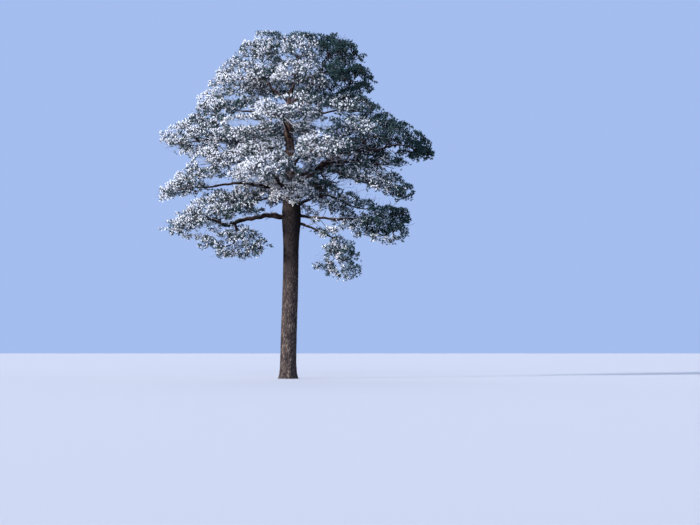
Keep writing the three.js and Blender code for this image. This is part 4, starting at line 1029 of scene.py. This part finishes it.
clump_number, fan = np.arange(len(clumps)), np.arange(FANS)
clump_axis = unit(CLUMP_OUT * unit(clumps - pad_middle[clump_pad]) + CLUMP_UP * UP)
fan_dome = np.stack([directions(c + 0.5, fan, FAN_LOWEST) for c in clump_number])
first, second = beside(clump_axis)
fan_way = (fan_dome[..., :1] * first[:, None] + fan_dome[..., 1:2] * second[:, None]
           + fan_dome[..., 2:] * clump_axis[:, None])
draw = clump_number[:, None] * FANS + fan
lengths = (FAN_REACH * (FAN_LENGTHS[0] + FAN_LENGTHS[1] * chance(5.1, draw)))[..., None]
main_tips = clumps[:, None] + fan_way * lengths * FLATTEN
main_roots = np.broadcast_to(clumps[:, None], main_tips.shape)
roll = 2 * np.pi * chance(6.3, draw)
fan_first, fan_second = beside(fan_way)
spread = np.cos(roll)[..., None] * fan_first + np.sin(roll)[..., None] * fan_second
side_roots = main_roots + (main_tips - main_roots) * SIDE_LEAVES
side_tips = [main_roots + unit(fan_way + turn * SIDE_SPREAD * spread) * lengths * FLATTEN
             * (SIDE_REACH + SIDE_UNEVEN * turn) for turn in (-1, 1)]
tips = np.stack([main_tips, *side_tips], axis=2).reshape(-1, 3)
roots = np.stack([main_roots, side_roots, side_roots], axis=2).reshape(-1, 3)
print(len(tips), "shoots tried")

# %% [markdown]
# A shoot is kept if its tip stays in its mass's space, or belongs to a pad that may leave it, and touches no
# limb, closes no gap and doesn't lie deep in another pad. Of the tips in one small cube the first is kept,
# and a shoot left all alone goes. Green masses look dense and dark in the photo, so theirs stand closer.

# %% The shoots that are kept
BURIED, ROOM_MOST, TUFT_APART, BOX_MARGIN = 0.7, 1.3, 0.107, 0.02
GREEN_BELOW, GREEN_BURIED, GREEN_APART = 0.2, 0.4, 0.092
SHARE_MOST, SHARE_MOST_UNDER = 1.0, 1.25
shoot_clump = np.repeat(clump_number, 3 * FANS)
shoot_pad = clump_pad[shoot_clump]
shoot_mass = pad_mass[shoot_pad]
shoot_share = np.concatenate([own_share(m, tips[shoot_mass == m]) for m in range(len(MASSES))])
below, _ = below_middle(shoot_mass, tips)
kept = shoot_share < np.where(below > 0, SHARE_MOST_UNDER, SHARE_MOST)
kept = (kept | pad_free[shoot_pad]) & ~in_gap(tips)
kept &= ((tips > np.array(cad_box[0]) - BOX_MARGIN) & (tips < np.array(cad_box[1]) + BOX_MARGIN)).all(axis=1)
shoot_room = np.full(len(tips), ROOM_MOST)
for m in range(len(MASSES)):
    here = np.flatnonzero(shoot_mass == m)
    kept[here] &= clear_of_limbs(tips[here], LIMB_MARGIN)
    for number, pad in enumerate(pads):
        if pad.mass == m and not pad.bare:
            other = here[shoot_pad[here] != number]
            shoot_room[other] = np.minimum(shoot_room[other], pad_share(pad, tips[other]))
green = RIMED[shoot_mass] < GREEN_BELOW
kept &= shoot_room > np.where(green, GREEN_BURIED, BURIED)
kept = np.flatnonzero(kept)
cell = np.floor(tips[kept] / np.where(green[kept], GREEN_APART, TUFT_APART)[:, None]).astype(int)
kept = kept[np.unique(cell, axis=0, return_index=True)[1]]
kept = kept[~lonely(tips[kept])]
tips, roots, shoot_clump, shoot_pad, shoot_mass, shoot_share, shoot_room, green = [
    values[kept] for values in
    (tips, roots, shoot_clump, shoot_pad, shoot_mass, shoot_share, shoot_room, green)]
print(len(tips), "shoots")

# %% [markdown]
# Rime forms on the windward side. How white a shoot is comes from its mass and its pad, from how far it faces
# the wind, from how far out it stands, from how much room it has, and from chance, by clump and by shoot. A
# shoot deep in a neighbouring pad gets a darker kind: partly less rime in shelter, partly painted shade in
# the crevice between pads. It is less on the lee side of each mass, the more so at the right of the crown,
# and less on its crest. That number is dealt into five kinds of needle, from white to dark green, and each
# kind is one plain colour, since no pattern could be placed on so many small pieces. The first needles of a
# shoot are three kinds darker and wider, as rime gathers at the tips.

# %% Dealing out the rime
WIND = unit(np.array([-0.75, -0.5, 0.4]))
RIME_WIND, RIME_OUT, RIME_ROOM_AND_SHADE, RIME_CLUMP, RIME_SHOOT = 0.32, 0.2, 0.8, 0.3, 1.35
RIME_BASE, RIME_EVEN, SHARE_COUNTED, SHARE_EVEN, ROOM_EVEN = 0.72, 0.35, 1.1, 0.9, 1.12
RIME_LEE, LEE_FULL, LEE_LEAST, LEE_FROM = 0.85, 3.0, 0.35, 0.1
RIME_CREST, CREST_FROM, CREST_MOST = 1.2, 0.62, 0.5
KIND_STEPS = (0.72, 0.56, 0.42, 0.20)
NEEDLE_KINDS = {
    "white": (0.87, 0.88, 0.93, 0.75),
    "pale": (0.60, 0.59, 0.66, 0.75),
    "bluegrey": (0.25, 0.312, 0.365, 0.7),
    "green": (0.060, 0.110, 0.112, 0.55),
    "darkgreen": (0.020, 0.049, 0.052, 0.5),
}
shoot_number = np.arange(len(tips))


def outward_of(points, m):
    """The direction out of the mass at each point: square to the ellipsoid through it."""
    along, across, up, tall = metres_in(m, points)
    steps = (along / REACH[m, 0]**2, across / REACH[m, 1]**2, up / tall**2)
    return unit(sum(step[:, None] * axis[m] for step, axis in zip(steps, (ALONG, ACROSS, RISING))))


shoot_out = unit(outward_of(tips, shoot_mass) + unit(tips - pad_middle[shoot_pad]))
# The room term is partly painted shade: shoots deep in another pad, in the crevices, get darker kinds.
varied = (RIME_WIND * shoot_out @ WIND + RIME_OUT * (np.minimum(shoot_share, SHARE_COUNTED) - SHARE_EVEN)
          + RIME_ROOM_AND_SHADE * (shoot_room - ROOM_EVEN)
          + RIME_CLUMP * (chance(2.2, shoot_clump) - 0.5) + RIME_SHOOT * (chance(3.3, shoot_number) - 0.5))
rime = RIME_BASE * RIMED[shoot_mass] + varied * (RIME_EVEN + (1 - RIME_EVEN) * RIMED[shoot_mass])
from_middle = (tips - MIDDLE[shoot_mass]) / REACH[shoot_mass]
lee_of_crown = np.clip(MIDDLE[shoot_mass, 0] / LEE_FULL, LEE_LEAST, 1)
leeward = lee_of_crown * np.clip(from_middle[:, 0] - LEE_FROM, 0, 1)
crest = np.clip(from_middle[:, 2] - CREST_FROM, 0, CREST_MOST)
rime += pad_rime[shoot_pad] - RIME_LEE * leeward - RIME_CREST * crest
shoot_kind = np.sum([rime < step for step in KIND_STEPS], axis=0)
counts = np.bincount(shoot_kind, minlength=len(NEEDLE_KINDS))
print("shoots of each kind:", dict(zip(NEEDLE_KINDS, counts.tolist())))

# %% [markdown]
# Scots pine needles are 50 to 70 mm long and under 2 mm wide, hundreds to a shoot. At the size of a whole
# crown each one drawn stands for a rimed bundle: wider than life, and only fifteen to a shoot. Each is one
# long triangle, wide at its root and pointed, set round the last of its shoot by the golden angle, lying
# back at the foot and forward at the tip. The needles of green masses are wider, as those masses look dense.

# %% Needles
NEEDLES, NEEDLE_LENGTH, NEEDLE_WIDTH, GREEN_WIDTH, NEEDLE_SHEEN = 15, 0.074, 0.026, 0.034, 0.15
TUFT_LENGTH, LEAN_FOOT, LEAN_TIP, GOLDEN = 0.075, math.radians(84), math.radians(14), 2.39996
TUFT_LIFT, LEAN_VARY, TWIST, LENGTHS_VARY = 0.25, 0.3, 1.6, (0.85, 0.3)
DARKER_NEEDLES, DARKER_BY, FULL_RIME, DARKER_AT_FULL, RIMED_KINDS = 4, 3, 1.0, 3, 3


def needles_of(tips, roots, number, width):
    """Corners of every needle, (shoots, needles, 3, 3), with a width for each. Needle k leaves the shoot at
    k shares of its last stretch, leans out by an angle that closes towards the tip, and is turned k golden
    angles about it."""
    axis = unit(unit(tips - roots) + TUFT_LIFT * UP)
    first, second = beside(axis)
    k = np.arange(NEEDLES)
    draw = number[:, None] * NEEDLES + k
    share = (k + 0.5) / NEEDLES
    lean = LEAN_FOOT + (LEAN_TIP - LEAN_FOOT) * share + LEAN_VARY * (chance(7.7, draw) - 0.5)
    turn = GOLDEN * k + 2 * np.pi * chance(8.8, number)[:, None]
    out = np.cos(turn)[..., None] * first[:, None] + np.sin(turn)[..., None] * second[:, None]
    way = np.cos(lean)[..., None] * axis[:, None] + np.sin(lean)[..., None] * out
    foot = tips[:, None] - axis[:, None] * (TUFT_LENGTH * (1 - share))[:, None]
    flat = np.cross(axis[:, None], out)
    twist = TWIST * (chance(9.9, draw) - 0.5)
    flat = np.cos(twist)[..., None] * flat + np.sin(twist)[..., None] * np.cross(way, flat)
    half = flat * width[..., None] / 2
    length = NEEDLE_LENGTH * (LENGTHS_VARY[0] + LENGTHS_VARY[1] * chance(1.9, draw))
    return np.stack([foot - half, foot + half, foot + way * length[..., None]], axis=2)


darker = np.arange(NEEDLES) < np.where(rime > FULL_RIME, DARKER_AT_FULL, DARKER_NEEDLES)[:, None]
widths = np.where(darker | green[:, None], GREEN_WIDTH, NEEDLE_WIDTH)
needles = needles_of(tips, roots, shoot_number, widths)
needle_kind = np.minimum(shoot_kind[:, None] + DARKER_BY * darker, len(NEEDLE_KINDS) - 1)
SIDES_OF_CROWN = {
    side: [m for m, name in enumerate(MASSES) if name.split("_")[0] in begins]
    for side, begins in {"left": ["left"], "right": ["right"], "back": ["back"],
                         "front": ["front", "centre", "top"]}.items()
}
needle_materials = [
    new_material(f"needles {kind}", Base_Color=(*colour, 1.0), Roughness=roughness,
                 Specular_IOR_Level=NEEDLE_SHEEN)
    for kind, (*colour, roughness) in NEEDLE_KINDS.items()
]
for side, members in SIDES_OF_CROWN.items():
    here = np.isin(shoot_mass, members)
    for k, (kind, material) in enumerate(zip(NEEDLE_KINDS, needle_materials)):
        corners = needles[here][needle_kind[here] == k].reshape(-1, 3)
        make_piece(f"needles_{kind}_{side}", corners, [np.arange(len(corners)).reshape(-1, 3)], material,
                   "rimed_needles" if k < RIMED_KINDS else "green_needles", [NODES[m] for m in members])

# %% [markdown]
# Wood inside the crown: the stems and the first twigs have the boughs' bark, without its relief, on round
# tubes that stand for the masses' own stems.

# %% Stems and first twigs
STEM_SIDES, STEM_RINGS, TWIG_SIDES = 12, 26, 6
stem_share = np.linspace(0, 1, STEM_RINGS)
stem_tubes = tubes(np.stack([at_share(line, stem_share) for line in stem_lines]),
                   np.stack([np.interp(stem_share, EVEN, girths) for girths in stem_girths]), STEM_SIDES)
twig_tubes = tubes(*[np.stack(values) for values in zip(*first_twigs)], TWIG_SIDES)
for name, (points, faces) in {"crown_stems": stem_tubes, "crown_twigs": twig_tubes}.items():
    make_piece(name, points, faces, BOUGH_BARK, "bough_bark", NODES, smooth=True,
               marks={"rise": np.ones(len(points)), "plate": np.full(len(points), 0.5)})

# %% [markdown]
# The fine twigs are plain tubes of three sides, and each shoot is a slender closed spike of four faces. Rime
# whitens the fine twigs of the windward masses, and the rest are the dark purple-brown of pine twigs in
# winter.

# %% Fine twigs and shoots
TWIG_RIMED, FINE_SIDES, SHOOT_GIRTH = 0.3, 3, 0.006


def spikes(starts, ends, girth):
    """Closed spikes: a triangle round each start and a point at each end."""
    first, second = beside(unit(ends - starts))
    turn = 2 * np.pi * np.arange(3) / 3
    ring = np.cos(turn)[:, None] * first[:, None] + np.sin(turn)[:, None] * second[:, None]
    points = np.concatenate([starts[:, None] + girth * ring, ends[:, None]], axis=1).reshape(-1, 3)
    pattern = np.array([[0, 1, 3], [1, 2, 3], [2, 0, 3], [2, 1, 0]])
    return points, [(np.arange(len(starts))[:, None, None] * 4 + pattern).reshape(-1, 3)]


bare_wood = new_material("bare twigs", Base_Color=(0.045, 0.030, 0.032, 1.0), Roughness=0.85)
rimed_wood = new_material("rimed twigs", Base_Color=(0.42, 0.43, 0.50, 1.0), Roughness=0.8)
fine_lines, fine_girths = [np.stack(values) for values in zip(*fine_twigs)]
fine_rimed = RIMED[fine_mass] * chance(4.4, np.arange(len(fine_mass))) > TWIG_RIMED
for side, members in SIDES_OF_CROWN.items():
    nodes = [NODES[m] for m in members]
    for finish, material, rimed in (("bare", bare_wood, False), ("rimed", rimed_wood, True)):
        here = np.isin(fine_mass, members) & (fine_rimed == rimed)
        points, faces = tubes(fine_lines[here], fine_girths[here], FINE_SIDES)
        make_piece(f"twigs_{finish}_{side}", points, faces, material, "bough_bark", nodes)
    here = np.isin(shoot_mass, members)
    points, faces = spikes(roots[here], tips[here], SHOOT_GIRTH)
    make_piece(f"shoots_{side}", points, faces, bare_wood, "bough_bark", nodes)

# %% [markdown]
# The stage is a plain pale floor that runs to the horizon, a pale blue sky for fill, and a low sun at the
# left and in front, which is where the light comes from in the photo, with three weak wide lamps to fill the
# other sides. Floor and sky show the camera one colour and light the tree with another, because both are
# paler to the eye than the light that they give the tree. The camera stands where the photo was taken from:
# far off, at eye height, and tilted up until the horizon lies at its row of the photo.

# %% The floor
FLOOR_SIZE = 600.0
FLOOR_SHOWN, FLOOR_BOUNCE = (0.50, 0.52, 0.56, 1.0), (0.10, 0.09, 0.09, 1.0)


def shown_and_lit(tree, lit, shown, output):
    """Gives a surface or a sky one shader for the camera's own rays and another for all others."""
    ray = place(tree, "ShaderNodeLightPath", out="Is Camera Ray")
    feed(tree.nodes[output].inputs["Surface"], place(tree, "ShaderNodeMixShader", ray, lit, shown))


floor_material = new_material("floor", Base_Color=FLOOR_SHOWN, Roughness=0.9)
tree = floor_material.node_tree
bounce = place(tree, "ShaderNodeBsdfDiffuse", Color=FLOOR_BOUNCE)
shown_and_lit(tree, bounce, tree.nodes["Principled BSDF"].outputs[0], "Material Output")
corners = FLOOR_SIZE / 2 * np.array([[-1, -1, 0], [1, -1, 0], [1, 1, 0], [-1, 1, 0]], float)
floor = make_piece("floor", corners, [np.array([[0, 1, 2, 3]])], floor_material)

# %% The sky and the lamps
SKY, FILL_COLOUR, FILL = (0.37, 0.51, 0.86, 1.0), (0.25, 0.38, 0.86, 1.0), 0.46
LAMPS = {
    "low sun": (7.5, 8, (1.0, 0.95, 0.91), (75, -57)),
    "front fill": (3.2, 60, (0.72, 0.83, 1.0), (82, -6)),
    "back fill": (1.6, 70, (0.80, 0.88, 1.0), (70, -170)),
    "right fill": (1.5, 70, (0.80, 0.88, 1.0), (72, 102)),
}
world = bpy.data.worlds.new("sky")
bpy.context.scene.world = world
world.use_nodes = True
tree = world.node_tree
feed(tree.nodes["Background"].inputs["Color"], SKY)
fill = place(tree, "ShaderNodeBackground", Color=FILL_COLOUR, Strength=FILL)
shown_and_lit(tree, fill, tree.nodes["Background"].outputs[0], "World Output")

for name, (energy, wide, colour, (lean, turn)) in LAMPS.items():
    lamp_data = bpy.data.lights.new(name, "SUN")
    lamp_data.energy, lamp_data.angle, lamp_data.color = energy, math.radians(wide), colour
    lamp = bpy.data.objects.new(name, lamp_data)
    lamp.rotation_euler = (math.radians(lean), 0, math.radians(turn))
    bpy.context.scene.collection.objects.link(lamp)

# %% The camera
PHOTO_WIDE, PHOTO_TALL, HORIZON = 700, 525, 346.5
LENS, SENSOR, FARTHEST = 85.0, 36.0, 2000
camera_data = bpy.data.cameras.new("camera")
camera_data.lens, camera_data.sensor_width, camera_data.clip_end = LENS, SENSOR, FARTHEST
camera = bpy.data.objects.new("camera", camera_data)
pitch = math.atan((HORIZON - PHOTO_TALL / 2) / (LENS / SENSOR * PHOTO_WIDE))
camera.location, camera.rotation_euler = CAMERA_PLACE, (math.pi / 2 + pitch, 0, 0)
bpy.context.scene.collection.objects.link(camera)
bpy.context.scene.camera = camera
bpy.context.scene.view_settings.view_transform = "Standard"
print("camera pitch:", round(math.degrees(pitch), 2), "degrees")
